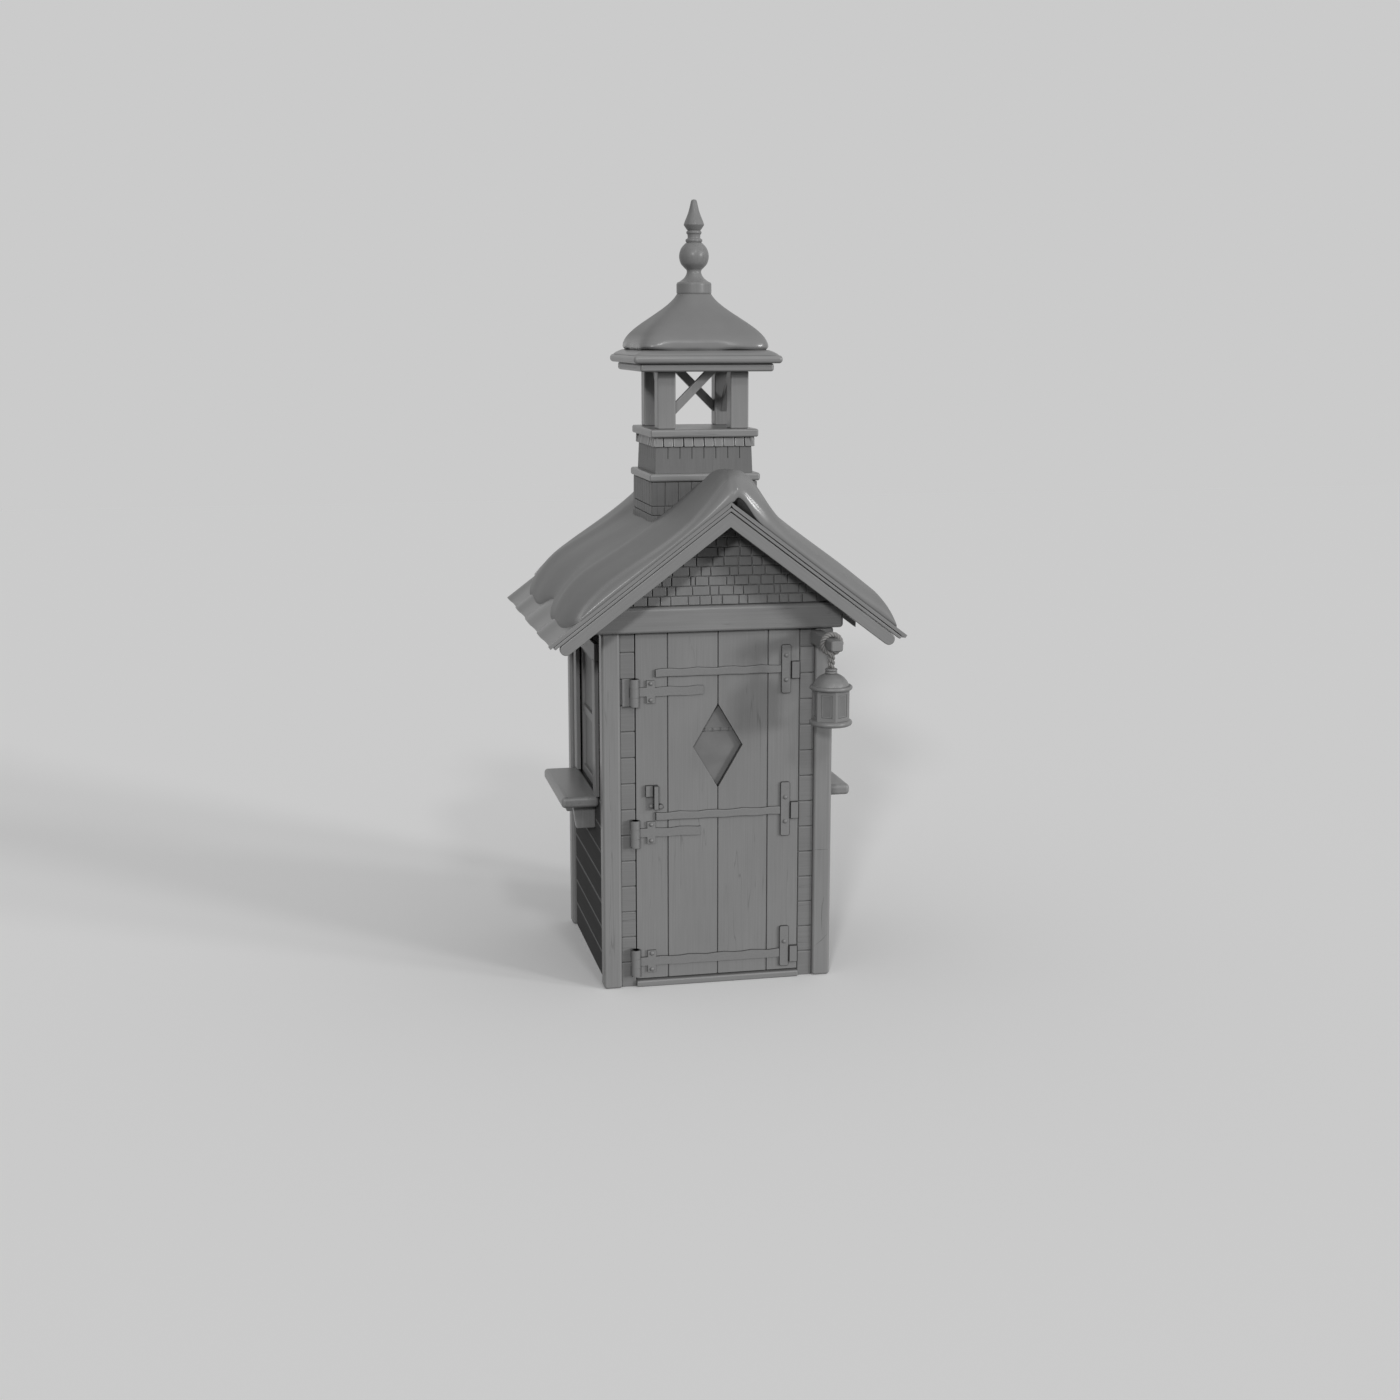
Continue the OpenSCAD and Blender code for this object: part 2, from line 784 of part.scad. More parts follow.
// Tapered brackets under the shelves
module shelf_brackets() {
    top_z = shelf_z - shelf_t;
    foot_share = 0.82;
    color(timber) each_side() for (y = [-bracket_gap, bracket_gap] / 2)
        translate([side_face, y + bracket_t / 2, top_z]) rotate([90, 0, 0]) linear_extrude(bracket_t)
            polygon([[0, 0], [bracket_out, 0], [bracket_out * foot_share, -bracket_h], [0, -bracket_h]]);
}

// Upright grooves on all four sides of a square tier, between that many boards a side
module tier_grooves(width, count, from_z, to_z) {
    half = width / 2;
    for (turn = [0 : 90 : 270], k = [1 : count - 1]) rotate([0, 0, turn])
        translate([width * k / count - half, -half, 0])
            slab([-plank_groove / 2, -plank_groove, from_z], [plank_groove / 2, plank_groove, to_z]);
}

// Boxed base of the cupola astride the ridge, faced with upright planks
module cupola_lower_tier() {
    half = lower_w / 2;
    inner = half - tier_t;
    foot_z = ridge_z - half * slope;
    color(timber) difference() {
        slab([-half, -half, foot_z], [half, half, band_z - seat]);
        slab([-inner, -inner, foot_z - overrun], [inner, inner, band_z + overrun]);
        translate([0, half + overrun, 0]) rotate([90, 0, 0]) linear_extrude(2 * half + 2 * overrun)
            polygon([[0, ridge_z + seat], [2 * half, ridge_z + seat - 2 * half * slope],
                [-2 * half, ridge_z + seat - 2 * half * slope]]);
        tier_grooves(lower_w, plank_count, foot_z - overrun, band_z + overrun);
    }
}

module cupola_lower_band() {
    color(timber) nosed_board(band_w, band_z, band_h, moulding_r);
}

// Upper tier: boards slit from their upper edge, and the course of shingles along its top
module cupola_upper_tier() {
    half = upper_w / 2;
    course_half = course_w / 2;
    inner = half - tier_t;
    color(timber) difference() {
        union() {
            slab([-half, -half, upper_z], [half, half, ledge_z]);
            slab([-course_half, -course_half, course_z], [course_half, course_half, ledge_z]);
        }
        slab([-inner, -inner, upper_z - overrun], [inner, inner, ledge_z + overrun]);
        tier_grooves(upper_w, slit_count + 1, course_z - slit_l, course_z);
        tier_grooves(course_w, shingle_count, course_z - overrun, ledge_z + overrun);
    }
}

module cupola_ledge() {
    color(timber) nosed_board(ledge_w, ledge_z, ledge_h, moulding_r);
}

module cupola_posts() {
    color(timber) for (x = [-belfry_at, belfry_at], y = [-belfry_at, belfry_at])
        translate([x, y, 0]) slab([-belfry_post / 2, -belfry_post / 2, belfry_z],
            [belfry_post / 2, belfry_post / 2, plate_z]);
}

// One slanting brace in the gap between two posts, cut to fit post and plate
module belfry_brace() {
    gap = belfry_gap - 2 * hairline;
    foot = brace_foot_share * belfry_h;
    width = brace_w / cos(brace_angle);
    reach = gap + belfry_post;
    intersection() {
        translate([-gap / 2, brace_t / 2, belfry_z + foot]) rotate([90, 0, 0]) linear_extrude(brace_t)
            polygon([[0, 0], [0, width], [reach, width + reach * tan(brace_angle)],
                [reach, reach * tan(brace_angle)]]);
        slab([-gap / 2, -brace_t, belfry_z], [gap / 2, brace_t, plate_z - hairline]);
    }
}

// Braces lean one way at the front and back, and the other way at the sides
module cupola_braces() {
    color(timber) for (turn = [0, 180]) rotate([0, 0, turn]) {
        translate([0, -belfry_at, 0]) belfry_brace();
        rotate([0, 0, 90]) translate([0, -belfry_at, 0]) mirror([1, 0, 0]) belfry_brace();
    }
}

module cupola_plate() {
    color(timber) nosed_board(plate_top_w, plate_z, plate_top_h, moulding_r);
}

// Half-width of the cupola roof at a share of its height: an upright shoulder under an ogee
// that would end above the finial's foot
function dome_half(u) = let (
    rise = max(0, (u - shoulder_share) / (ogee_end_share - shoulder_share)),
    tip = finial_foot_r * ogee_tip_share)
    tip + (crown_w / 2 - crown_in - tip) * (1 + cos(180 * rise)) / 2;

// Ring of a rounded square: squarer low down, round at the top
function dome_ring(half, u, z) = [for (k = [0 : dome_point_count - 1]) let (
    a = 360 * k / dome_point_count,
    p = 2 + 6 * pow(1 - u, 2),
    r = half / pow(pow(abs(cos(a)), p) + pow(abs(sin(a)), p), 1 / p))
    [r * cos(a), r * sin(a), z]];

// Closed loft over a stack of rings
module loft(rings) {
    n = len(rings[0]);
    last = len(rings) - 1;
    polyhedron([for (ring = rings) each ring], concat(
        [[for (k = [0 : n - 1]) k]],
        [for (j = [0 : last - 1], k = [0 : n - 1])
            [j * n + k, (j + 1) * n + k, (j + 1) * n + (k + 1) % n]],
        [for (j = [0 : last - 1], k = [0 : n - 1])
            [j * n + k, (j + 1) * n + (k + 1) % n, j * n + (k + 1) % n]],
        [[for (k = [n - 1 : -1 : 0]) last * n + k]]));
}

// Rings of the cupola roof from a share of its height to the top, drawn in by one measure all over
// and by another towards the edge
function dome_rings(inset, edge_inset, foot_share = 0, height = dome_h) = [for (j = [0 : dome_level_count])
    let (u = foot_share + (1 - foot_share) * j / dome_level_count)
        dome_ring(dome_half(u) - inset - edge_inset * (1 - u), u, dome_z + height * u)];
function lifted(ring, rise) = [for (p = ring) [p.x, p.y, p.z + rise]];

// Cove that draws in over the edge moulding, seen from one side
module cove_side() {
    outer = crown_w / 2 - moulding_r;
    arc = [for (k = [0 : cove_point_count]) let (t = k / cove_point_count)
        [outer - cove_in * pow(t, cove_bend_share), cove_h * t]];
    other = [for (k = [cove_point_count : -1 : 0]) [-arc[k].x, arc[k].y]];
    translate([0, outer, dome_z]) rotate([90, 0, 0]) linear_extrude(2 * outer)
        polygon(concat([[-outer, -hairline], [outer, -hairline]], arc, other));
}

// Edge moulding and cove with the boarded roof on them
module cupola_roof() {
    color(timber) {
        nosed_board(crown_w, crown_z, crown_h, moulding_r);
        intersection() {
            cove_side();
            rotate([0, 0, 90]) cove_side();
        }
        loft(dome_rings(cap_inset, cap_snow_t));
    }
}

// Snow over the cupola roof, thin at the top and thick at the edge
module cupola_snow() {
    cavity = dome_rings(cap_inset - seat, cap_snow_t);
    color(snow) difference() {
        translate([0, 0, seat]) loft(dome_rings(0, cap_inset, cove_h / dome_h, dome_h - 2 * seat));
        loft(concat(
            [lifted(cavity[0], -overrun)], cavity, [lifted(cavity[dome_level_count], overrun)]));
    }
}

// Turned finial: foot, flare, ball, rings and spike
module finial() {
    ball_z = finial_h * ball_z_share;
    color(timber) translate([0, 0, finial_z]) rotate_extrude() {
        polygon(concat([[0, 0]],
            [for (p = finial_shares) [finial_foot_r * p.x, finial_h * p.y]], [[0, finial_h]]));
        intersection() {
            translate([0, ball_z]) circle(r = finial_ball_r);
            square([finial_ball_r, finial_h]);
        }
    }
}

// Rounded outline of the lantern beam at a distance from the post, drawn in by an inset
function beam_ring(s, inset) = let (h = beam_h - beam_taper * s)
    [for (c = [0 : 3], k = [0 : beam_arc_count]) let (
        a = 90 * (c + k / beam_arc_count),
        side = c == 1 || c == 2 ? -1 : 1,
        upper = c < 2 ? 1 : -1)
        [side * (beam_w / 2 - beam_r) + (beam_r - inset) * cos(a),
            upper * (h / 2 - beam_r) - h / 2 + (beam_r - inset) * sin(a), s]];

// Beam that carries the lantern, tapered along its underside, with rounded edges and end
module lantern_beam() {
    nose = beam_r / 2;
    color(timber) translate([beam_x, -half_d, beam_top]) rotate([90, 0, 0])
        loft([beam_ring(0, 0), beam_ring(beam_l - nose, 0), beam_ring(beam_l, nose)]);
}

// Height of the middle of a hinge
function hinge_mid(i) = door_foot + door_h * hinge_z_shares[i];

// Jamb leaves: the outer two knuckles of each hinge with its pin
module hinge_leaves() {
    color(iron) for (i = [0 : len(hinge_z_shares) - 1]) translate([hinge_x, hinge_y, hinge_mid(i)]) {
        leaf_end = max(barrel_r, leaf_w_shares[i] * leaf_w);
        for (z = [-barrel_h / 2, barrel_h / 2 - knuckle_h]) {
            translate([0, 0, z]) cylinder(r = barrel_r, h = knuckle_h);
            slab([-leaf_end, hinge_out - iron_t, z], [0, hinge_out, z + knuckle_h]);
        }
        if (leaf_end > barrel_r + knuckle_gap)
            slab([-leaf_end, hinge_out - iron_t, -barrel_h / 2],
                [-barrel_r - knuckle_gap, hinge_out, barrel_h / 2]);
        translate([0, 0, -barrel_h / 2]) cylinder(r = pin_r, h = barrel_h);
    }
}

module door_leaf() {
    diamond_z = door_foot + door_h * diamond_z_share;
    color(timber) difference() {
        slab([-door_half, -front_face, door_foot], [door_half, -front_face + door_t, door_top]);
        for (x = [-1 : 1], y = [-front_face, -front_face + door_t])
            translate([x * board_share * door_w, y, 0])
                slab([-groove_w / 2, -groove_d, 0], [groove_w / 2, groove_d, 2 * door_top]);
        translate([0, 0, diamond_z]) diamond_plate(diamond_w, diamond_h, -front_face - overrun,
            -front_face + door_t + overrun);
    }
}

// Diamond standing upright, from one depth to another
module diamond_plate(width, height, front, back) {
    translate([0, back, 0]) rotate([90, 0, 0]) linear_extrude(back - front)
        polygon([[-width / 2, 0], [0, -height / 2], [width / 2, 0], [0, height / 2]]);
}

module door_pane() {
    pane_y = -front_face + diamond_set;
    color(glass) translate([0, 0, door_foot + door_h * diamond_z_share])
        diamond_plate(diamond_w - 2 * seat, diamond_h - 2 * seat * diamond_h / diamond_w,
            pane_y, pane_y + pane_t);
}

// Straps on the face of the door, each with its knuckle and cross plate
module hinge_straps() {
    color(iron) for (i = [0 : len(hinge_z_shares) - 1]) translate([0, 0, hinge_mid(i)]) {
        reach = i == 0 ? lock_x - plate_w / 2 - bar_gap : strap_reach_shares[i - 1] * door_w - door_half;
        difference() {
            union() {
                translate([hinge_x, hinge_y, -knuckle_h / 2]) cylinder(r = barrel_r, h = knuckle_h);
                slab([-door_half, -front_face - iron_t, -strap_h / 2], [reach, -front_face, strap_h / 2]);
                slab([cross_x - cross_w / 2, -front_face - iron_t, -cross_h / 2],
                    [cross_x + cross_w / 2, -front_face, cross_h / 2]);
            }
            translate([hinge_x, hinge_y, -barrel_h]) cylinder(r = pin_r + pin_play, h = 2 * barrel_h);
        }
    }
}

// Bars between the cross plates and the lock plates
module door_bars() {
    bar_from = cross_x + cross_w / 2 + bar_gap;
    bar_to = lock_x - plate_w / 2 - bar_gap;
    color(iron) for (share = bar_z_shares) translate([0, -front_face, door_foot + door_h * share])
        rounded_timber([bar_from, -bar_t, -bar_h / 2], [bar_to, 0, bar_h / 2], bar_r, "x");
}

// Lock plates with round ends and the keeper blocks beside them
module lock_plates() {
    color(iron) for (i = [0 : len(lock_z_shares) - 1]) {
        height = lock_h_shares[i] * door_h;
        translate([lock_x, -front_face, door_foot + door_h * lock_z_shares[i]]) rotate([90, 0, 0])
            linear_extrude(iron_t) {
                square([plate_w, height - 2 * plate_r], center = true);
                square([plate_w - 2 * plate_r, height], center = true);
                for (x = [-1, 1], z = [-1, 1])
                    translate([x * (plate_w / 2 - plate_r), z * (height / 2 - plate_r)]) circle(r = plate_r);
            }
        translate([lock_x + plate_w / 2, 0, door_foot + door_h * keeper_z_shares[i]])
            slab([hairline, -front_face - keeper_t, -keeper_h / 2],
                [hairline + keeper_w, -front_face, keeper_h / 2]);
    }
}

// Latch block, upright handle and knob on the hinge side
module door_handle() {
    handle_x = handle_x_share * door_w - door_half;
    color(iron) translate([handle_x, -front_face, door_foot + door_h * handle_z_share]) {
        slab([0, -handle_grip_out, -handle_h / 2], [handle_w, 0, handle_h / 2]);
        slab([-latch_w - hairline, -handle_grip_out / 2, handle_h / 2 - latch_h],
            [-hairline, 0, handle_h / 2]);
        translate([handle_w + knob_r + hairline, 0, knob_r - handle_h / 2]) rotate([90, 0, 0])
            cylinder(r = knob_r, h = handle_grip_out / 2);
    }
}

// Rope loop over the beam, pressed flat inside by its load, and the twisted drop below it
module lantern_rope() {
    color(rope) translate([beam_x, lantern_y, swing_z]) {
        rotate([90, 0, 0]) rotate_extrude() intersection() {
            translate([loop_r, 0]) circle(d = rope_d);
            translate([loop_in_r, -rope_d]) square(2 * rope_d);
        }
        translate([0, 0, lantern_top - swing_z])
            cylinder(d = drop_d, h = stem_z - lantern_top);
    }
}

// Half-round bead of a turned profile, from its top to its foot
function bead(x, z, r) = [for (k = [0 : bead_point_count]) let (a = 90 - 180 * k / bead_point_count)
    [x + r * cos(a), z + r * sin(a)]];

// Domed cap: a turned shell with a ribbed collar on top and a rolled rim below, open underneath
module lantern_cap() {
    height = lantern_h * cap_h_share;
    rim_r = lantern_h * cap_rim_share / 2;
    collar_h = lantern_h * collar_h_share;
    collar_r = lantern_rim_r * collar_r_share;
    neck_z = height - collar_h;
    rise = neck_z - 2 * rim_r;
    rib_h = collar_h / collar_rib_count;
    color(iron) translate([beam_x, lantern_y, cap_z]) rotate_extrude() polygon(concat(
        [[0, height], [collar_r, height]],
        [for (k = [0 : collar_rib_count - 1])
            each bead(collar_r, height - rib_h * k - rib_h / 2, rib_h * rib_share)],
        [[collar_r, neck_z]],
        [for (p = cap_shares) [lantern_rim_r * p.x, 2 * rim_r + rise * p.y]],
        bead(lantern_rim_r - rim_r, rim_r, rim_r),
        [[lantern_rim_r - 2 * lantern_shell, 0]],
        [for (i = [len(cap_shares) - 1 : -1 : 0])
            [lantern_rim_r * cap_shares[i].x - lantern_shell,
                2 * rim_r + rise * cap_shares[i].y - lantern_shell]],
        [[0, neck_z - lantern_shell]]));
}

// Six-sided cage with a window in each side, standing on a round base with a rolled edge
module lantern_cage() {
    height = cap_z - cage_z - seat;
    base_r = (cage_z - lantern_foot) / 2;
    apothem = lantern_cage_r * cos(30);
    color(iron) translate([beam_x, lantern_y, 0]) {
        translate([0, 0, lantern_foot]) rotate_extrude() polygon(concat(
            [[0, 2 * base_r]], bead(lantern_rim_r - base_r, base_r, base_r), [[0, 0]]));
        translate([0, 0, cage_z]) difference() {
            rotate([0, 0, 30]) cylinder(r = lantern_cage_r, h = height, $fn = 6);
            rotate([0, 0, 30]) translate([0, 0, -overrun])
                cylinder(r = lantern_cage_r - lantern_shell / cos(30), h = height + 2 * overrun, $fn = 6);
            for (turn = [0 : 60 : 300]) rotate([0, 0, turn])
                slab([0, -lantern_cage_r / 2 + lantern_bar, lantern_bar],
                    [2 * apothem, lantern_cage_r / 2 - lantern_bar, height - lantern_bar]);
        }
    }
}

// Six-sided glass inside the cage
module lantern_panes() {
    height = cap_z - cage_z - 2 * seat;
    outer = lantern_cage_r - (lantern_shell + seat) / cos(30);
    color(glass) translate([beam_x, lantern_y, cage_z + seat]) rotate([0, 0, 30]) difference() {
        cylinder(r = outer, h = height - seat, $fn = 6);
        translate([0, 0, -overrun]) cylinder(r = outer - pane_t, h = height + 2 * overrun, $fn = 6);
    }
}

floor_deck();
door_sill();
corner_posts();
front_wall_left();
front_wall_right();
left_wall();
right_wall();
back_wall();
front_header();
back_header();
wall_plates();
front_gable();
back_gable();
rafters();
left_roof_sheet();
right_roof_sheet();
front_barge_boards();
back_barge_boards();
left_roof_snow();
right_roof_snow();
left_window_frame();
right_window_frame();
side_window_panes();
left_shelf();
right_shelf();
shelf_brackets();
cupola_lower_tier();
cupola_lower_band();
cupola_upper_tier();
cupola_ledge();
cupola_posts();
cupola_braces();
cupola_plate();
cupola_roof();
cupola_snow();
finial();
lantern_beam();
hinge_leaves();
door_leaf();
door_pane();
hinge_straps();
door_bars();
lock_plates();
door_handle();
lantern_rope();
lantern_cap();
lantern_cage();
lantern_panes();
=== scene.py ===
import math
import random

import bmesh
import bpy
import numpy as np
from mathutils import Matrix, Vector


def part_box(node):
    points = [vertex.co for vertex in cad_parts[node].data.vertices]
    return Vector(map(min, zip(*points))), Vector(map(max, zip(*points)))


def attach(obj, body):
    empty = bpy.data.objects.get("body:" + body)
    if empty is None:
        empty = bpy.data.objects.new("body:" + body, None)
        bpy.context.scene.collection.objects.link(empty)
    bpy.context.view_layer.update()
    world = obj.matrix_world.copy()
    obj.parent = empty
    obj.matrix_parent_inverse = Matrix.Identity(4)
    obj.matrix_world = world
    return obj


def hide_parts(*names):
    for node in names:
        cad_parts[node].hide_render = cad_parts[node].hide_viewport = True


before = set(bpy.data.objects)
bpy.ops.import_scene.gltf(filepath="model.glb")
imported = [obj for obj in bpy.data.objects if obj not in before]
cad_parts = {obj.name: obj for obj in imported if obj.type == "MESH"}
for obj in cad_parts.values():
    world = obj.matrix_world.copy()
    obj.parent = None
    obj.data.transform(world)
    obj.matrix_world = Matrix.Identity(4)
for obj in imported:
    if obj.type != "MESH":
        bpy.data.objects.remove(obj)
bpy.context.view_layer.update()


# Stage: a plain floor, pale to the camera, in soft studio light. Far lamps at the front left and right
# give about the same light, weaker ones stand high on the right and high in front, and an even fill
# comes from all round. The camera stands where the photograph was taken, left of the door.
scene = bpy.context.scene
scene.view_settings.view_transform = "Standard"


def linear(hex_colour):
    """Linear RGBA of an sRGB hex colour."""
    parts = [int(hex_colour[i:i + 2], 16) / 255 for i in (1, 3, 5)]
    return [p / 12.92 if p <= 0.04045 else ((p + 0.055) / 1.055) ** 2.4 for p in parts] + [1.0]


def add_node(tree, kind, inputs=None, give=0, **settings):
    """Add one node, with settings by name and inputs, as values or links, by name or number.

    Gives back one output, by name or number, or with None all of them.
    """
    node = tree.nodes.new(kind)
    for name, value in settings.items():
        setattr(node, name, value)
    for key, value in (inputs or {}).items():
        if isinstance(value, bpy.types.NodeSocket):
            tree.links.new(value, node.inputs[key])
        else:
            node.inputs[key].default_value = value
    return node.outputs[give] if node.outputs and give is not None else node.outputs


def seen_directly(tree):
    """1 for rays from the camera, also by way of a mirror or glass, and 0 for scattered light."""
    rays = add_node(tree, "ShaderNodeLightPath", give=None)
    seen = add_node(tree, "ShaderNodeMath", {0: rays["Is Camera Ray"], 1: rays["Is Transmission Ray"]},
                    operation="MAXIMUM")
    return add_node(tree, "ShaderNodeMath", {0: seen, 1: rays["Is Glossy Ray"]}, operation="MAXIMUM")


def new_material(name):
    """Empty node material and its tree."""
    material = bpy.data.materials.new(name)
    material.use_nodes = True
    material.node_tree.nodes.clear()
    return material, material.node_tree


FLOOR_SIDE = 60.0
FLOOR_DROP = 0.001
FLOOR_GREY = "#f6f6f6"
FLOOR_BOUNCE_GREY = "#404040"
BACKDROP_GREY = "#cbcbcb"
FILL_LEVEL = 0.5
LAMPS = {
    "left lamp": {"way": (0.372, 1.0, -0.368), "level": 0.94, "spread": 5},
    "right lamp": {"way": (-1.0, 1.0, -0.25), "level": 1.06, "spread": 9},
    "side lamp": {"way": (-1.6, 1.0, -0.7), "level": 0.34, "spread": 8},
    "front lamp": {"way": (-0.1, 1.0, -0.72), "level": 0.3, "spread": 6}}
CAMERA_PLACE = (-2.2092, -10.672, 3.5494)
CAMERA_PITCH = 10.84
CAMERA_YAW = 11.87
CAMERA_LENS = 50.0

floor_mesh = bpy.data.meshes.new("floor")
half = FLOOR_SIDE / 2
corners = [(-half, -half), (half, -half), (half, half), (-half, half)]
floor_mesh.from_pydata([(x, y, -FLOOR_DROP) for x, y in corners], [], [(0, 1, 2, 3)])
floor = bpy.data.objects.new("floor", floor_mesh)
scene.collection.objects.link(floor)
floor_paper, tree = new_material("studio paper")
pale = add_node(tree, "ShaderNodeBsdfDiffuse", {"Color": linear(FLOOR_GREY)})
bounce = add_node(tree, "ShaderNodeBsdfDiffuse", {"Color": linear(FLOOR_BOUNCE_GREY)})
mixed = add_node(tree, "ShaderNodeMixShader", {0: seen_directly(tree), 1: bounce, 2: pale})
add_node(tree, "ShaderNodeOutputMaterial", {"Surface": mixed})
floor_mesh.materials.append(floor_paper)

world = bpy.data.worlds.new("studio")
scene.world = world
world.use_nodes = True
tree = world.node_tree
tree.nodes.clear()
fill = add_node(tree, "ShaderNodeBackground", {"Strength": FILL_LEVEL})
backdrop = add_node(tree, "ShaderNodeBackground", {"Color": linear(BACKDROP_GREY)})
mixed = add_node(tree, "ShaderNodeMixShader", {0: seen_directly(tree), 1: fill, 2: backdrop})
add_node(tree, "ShaderNodeOutputWorld", {"Surface": mixed})

for name, lamp in LAMPS.items():
    lamp_data = bpy.data.lights.new(name, "SUN")
    lamp_data.energy = lamp["level"]
    lamp_data.angle = math.radians(lamp["spread"])
    far_lamp = bpy.data.objects.new(name, lamp_data)
    far_lamp.rotation_euler = Vector(lamp["way"]).to_track_quat("-Z", "Y").to_euler()
    scene.collection.objects.link(far_lamp)

camera_data = bpy.data.cameras.new("camera")
camera_data.lens = CAMERA_LENS
camera = bpy.data.objects.new("camera", camera_data)
camera.location = CAMERA_PLACE
camera.rotation_euler = (math.radians(90 - CAMERA_PITCH), 0, math.radians(-CAMERA_YAW))
scene.collection.objects.link(camera)
scene.camera = camera


# Corner posts: four sawn pine posts, painted grey, with rounded arrises and feet. They stand
# on the ground and carry the headers. The paint leaves long fine grain and a few drying
# cracks to see; the largest cracks are thin strips painted dark as the shade inside them. The
# paint is lighter along the worn arrises, partly wear and partly painted highlight.
def coat(material, tone, level, surface):
    """Finish a material: its tone at a brightness level, on one surface with the given inputs."""
    tree = material.node_tree
    colour = add_node(tree, "ShaderNodeVectorMath", {0: linear(tone)[:3], "Scale": level}, operation="SCALE")
    shader = add_node(tree, "ShaderNodeBsdfPrincipled", {"Base Color": colour, **surface})
    add_node(tree, "ShaderNodeOutputMaterial", {"Surface": shader})
    return material


def painted_pine(name, tone, along, pitch=0.0, shine=0.5, wear_and_highlight=0.1):
    """Brushed satin paint on pine: streaks along the grain, thin cracks, a tone for each board."""
    streak, streak_run = 0.008, 0.4
    crack_gap, crack_run = 0.05, 1.3
    patch = 0.45
    crack_level, crack_wide = 0.56, 0.009
    material, tree = new_material(name)
    place = add_node(tree, "ShaderNodeTexCoord", give="Object")
    if pitch:
        # Boards that rise to the ridge from both sides: fold the two sides together and lay them flat
        parts = add_node(tree, "ShaderNodeSeparateXYZ", {0: place}, give=None)
        folded = add_node(tree, "ShaderNodeMath", {0: parts[0]}, operation="ABSOLUTE")
        place = add_node(tree, "ShaderNodeCombineXYZ", {0: folded, 1: parts[1], 2: parts[2]})
        place = add_node(tree, "ShaderNodeVectorRotate", {"Vector": place, "Angle": -pitch},
                         rotation_type="Y_AXIS")
    drawn_out = []
    for gap, run in ((streak, streak_run), (crack_gap, crack_run)):
        scale = [1 / gap] * 3
        scale["xyz".index(along)] = 1 / run
        drawn_out.append(add_node(tree, "ShaderNodeMapping", {"Vector": place, "Scale": scale}))
    grain = add_node(tree, "ShaderNodeTexNoise",
                     {"Vector": drawn_out[0], "Scale": 1.0, "Detail": 5.0, "Roughness": 0.6})
    split = add_node(tree, "ShaderNodeTexNoise", {"Vector": drawn_out[1], "Scale": 1.0, "Detail": 2.0})
    off_middle = add_node(tree, "ShaderNodeMath", {0: split, 1: crack_level}, operation="SUBTRACT")
    off_middle = add_node(tree, "ShaderNodeMath", {0: off_middle}, operation="ABSOLUTE")
    crack = add_node(tree, "ShaderNodeMapRange", {0: off_middle, 1: 0.0, 2: crack_wide, 3: 1.0, 4: 0.0})
    broad = add_node(tree, "ShaderNodeTexNoise", {"Vector": place, "Scale": 1 / patch, "Detail": 3.0})
    fades = add_node(tree, "ShaderNodeMapRange", {0: broad, 1: 0.45, 2: 0.6})
    crack = add_node(tree, "ShaderNodeMath", {0: crack, 1: fades}, operation="MULTIPLY")
    board = add_node(tree, "ShaderNodeAttribute", attribute_name="board", give="Fac")
    wear_painted_light_and_glaze = add_node(tree, "ShaderNodeAttribute", attribute_name="wear_painted_light_and_glaze", give="Fac")

    # One brightness factor gathers grain, patches, board tone with painted shade, wear with painted
    # highlight, cracks
    level = add_node(tree, "ShaderNodeMapRange", {0: grain, 1: 0.3, 2: 0.7, 3: 0.93, 4: 1.05})
    shift = add_node(tree, "ShaderNodeMapRange", {0: broad, 1: 0.3, 2: 0.7, 3: -0.05, 4: 0.05})
    level = add_node(tree, "ShaderNodeMath", {0: level, 1: shift}, operation="ADD")
    for source, share in ((board, 0.12), (wear_painted_light_and_glaze, wear_and_highlight), (crack, -0.3)):
        level = add_node(tree, "ShaderNodeMath", {0: source, 1: share, 2: level}, operation="MULTIPLY_ADD")
    height = add_node(tree, "ShaderNodeMath", {0: crack, 1: -1.6, 2: grain}, operation="MULTIPLY_ADD")
    relief = add_node(tree, "ShaderNodeBump", {"Height": height, "Strength": 0.35, "Distance": 0.0008})
    gloss = add_node(tree, "ShaderNodeMapRange", {0: grain, 3: 0.24, 4: 0.38})
    return coat(material, tone, level, {"Roughness": gloss, "Specular IOR Level": shine, "Normal": relief})


def blank():
    """Empty bmesh with the two face marks that the paint reads."""
    work = bmesh.new()
    work.faces.layers.float.new("wear_painted_light_and_glaze")
    work.faces.layers.float.new("board")
    return work


def mark(work, faces, name, value):
    """Set a face mark: the edge mark for wear, painted light and glaze, or the board mark."""
    layer = work.faces.layers.float[name]
    for face in faces:
        face[layer] = value


def as_mesh(work):
    """Plain mesh of a bmesh, which is used up."""
    mesh = bpy.data.meshes.new("blank")
    work.to_mesh(mesh)
    work.free()
    return mesh


MERGE_GAP = 0.00002
FLAT_TURN = math.radians(0.5)


def merged_copy(node):
    """Copy of a CAD node with its triangles merged into whole faces."""
    work = blank()
    work.from_mesh(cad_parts[node].data)
    bmesh.ops.remove_doubles(work, verts=work.verts, dist=MERGE_GAP)
    bmesh.ops.dissolve_limit(work, angle_limit=FLAT_TURN, verts=work.verts, edges=work.edges)
    return work


def solids_of(node):
    """Lowest and highest corner of each separate solid of a CAD node."""
    work = merged_copy(node)
    work.verts.index_update()
    reached = set()
    boxes = []
    for start in work.verts:
        if start.index in reached:
            continue
        reached.add(start.index)
        group = [start]
        for vert in group:
            for edge in vert.link_edges:
                other = edge.other_vert(vert)
                if other.index not in reached:
                    reached.add(other.index)
                    group.append(other)
        points = np.array([v.co for v in group])
        boxes.append((Vector(points.min(0)), Vector(points.max(0))))
    work.free()
    return boxes


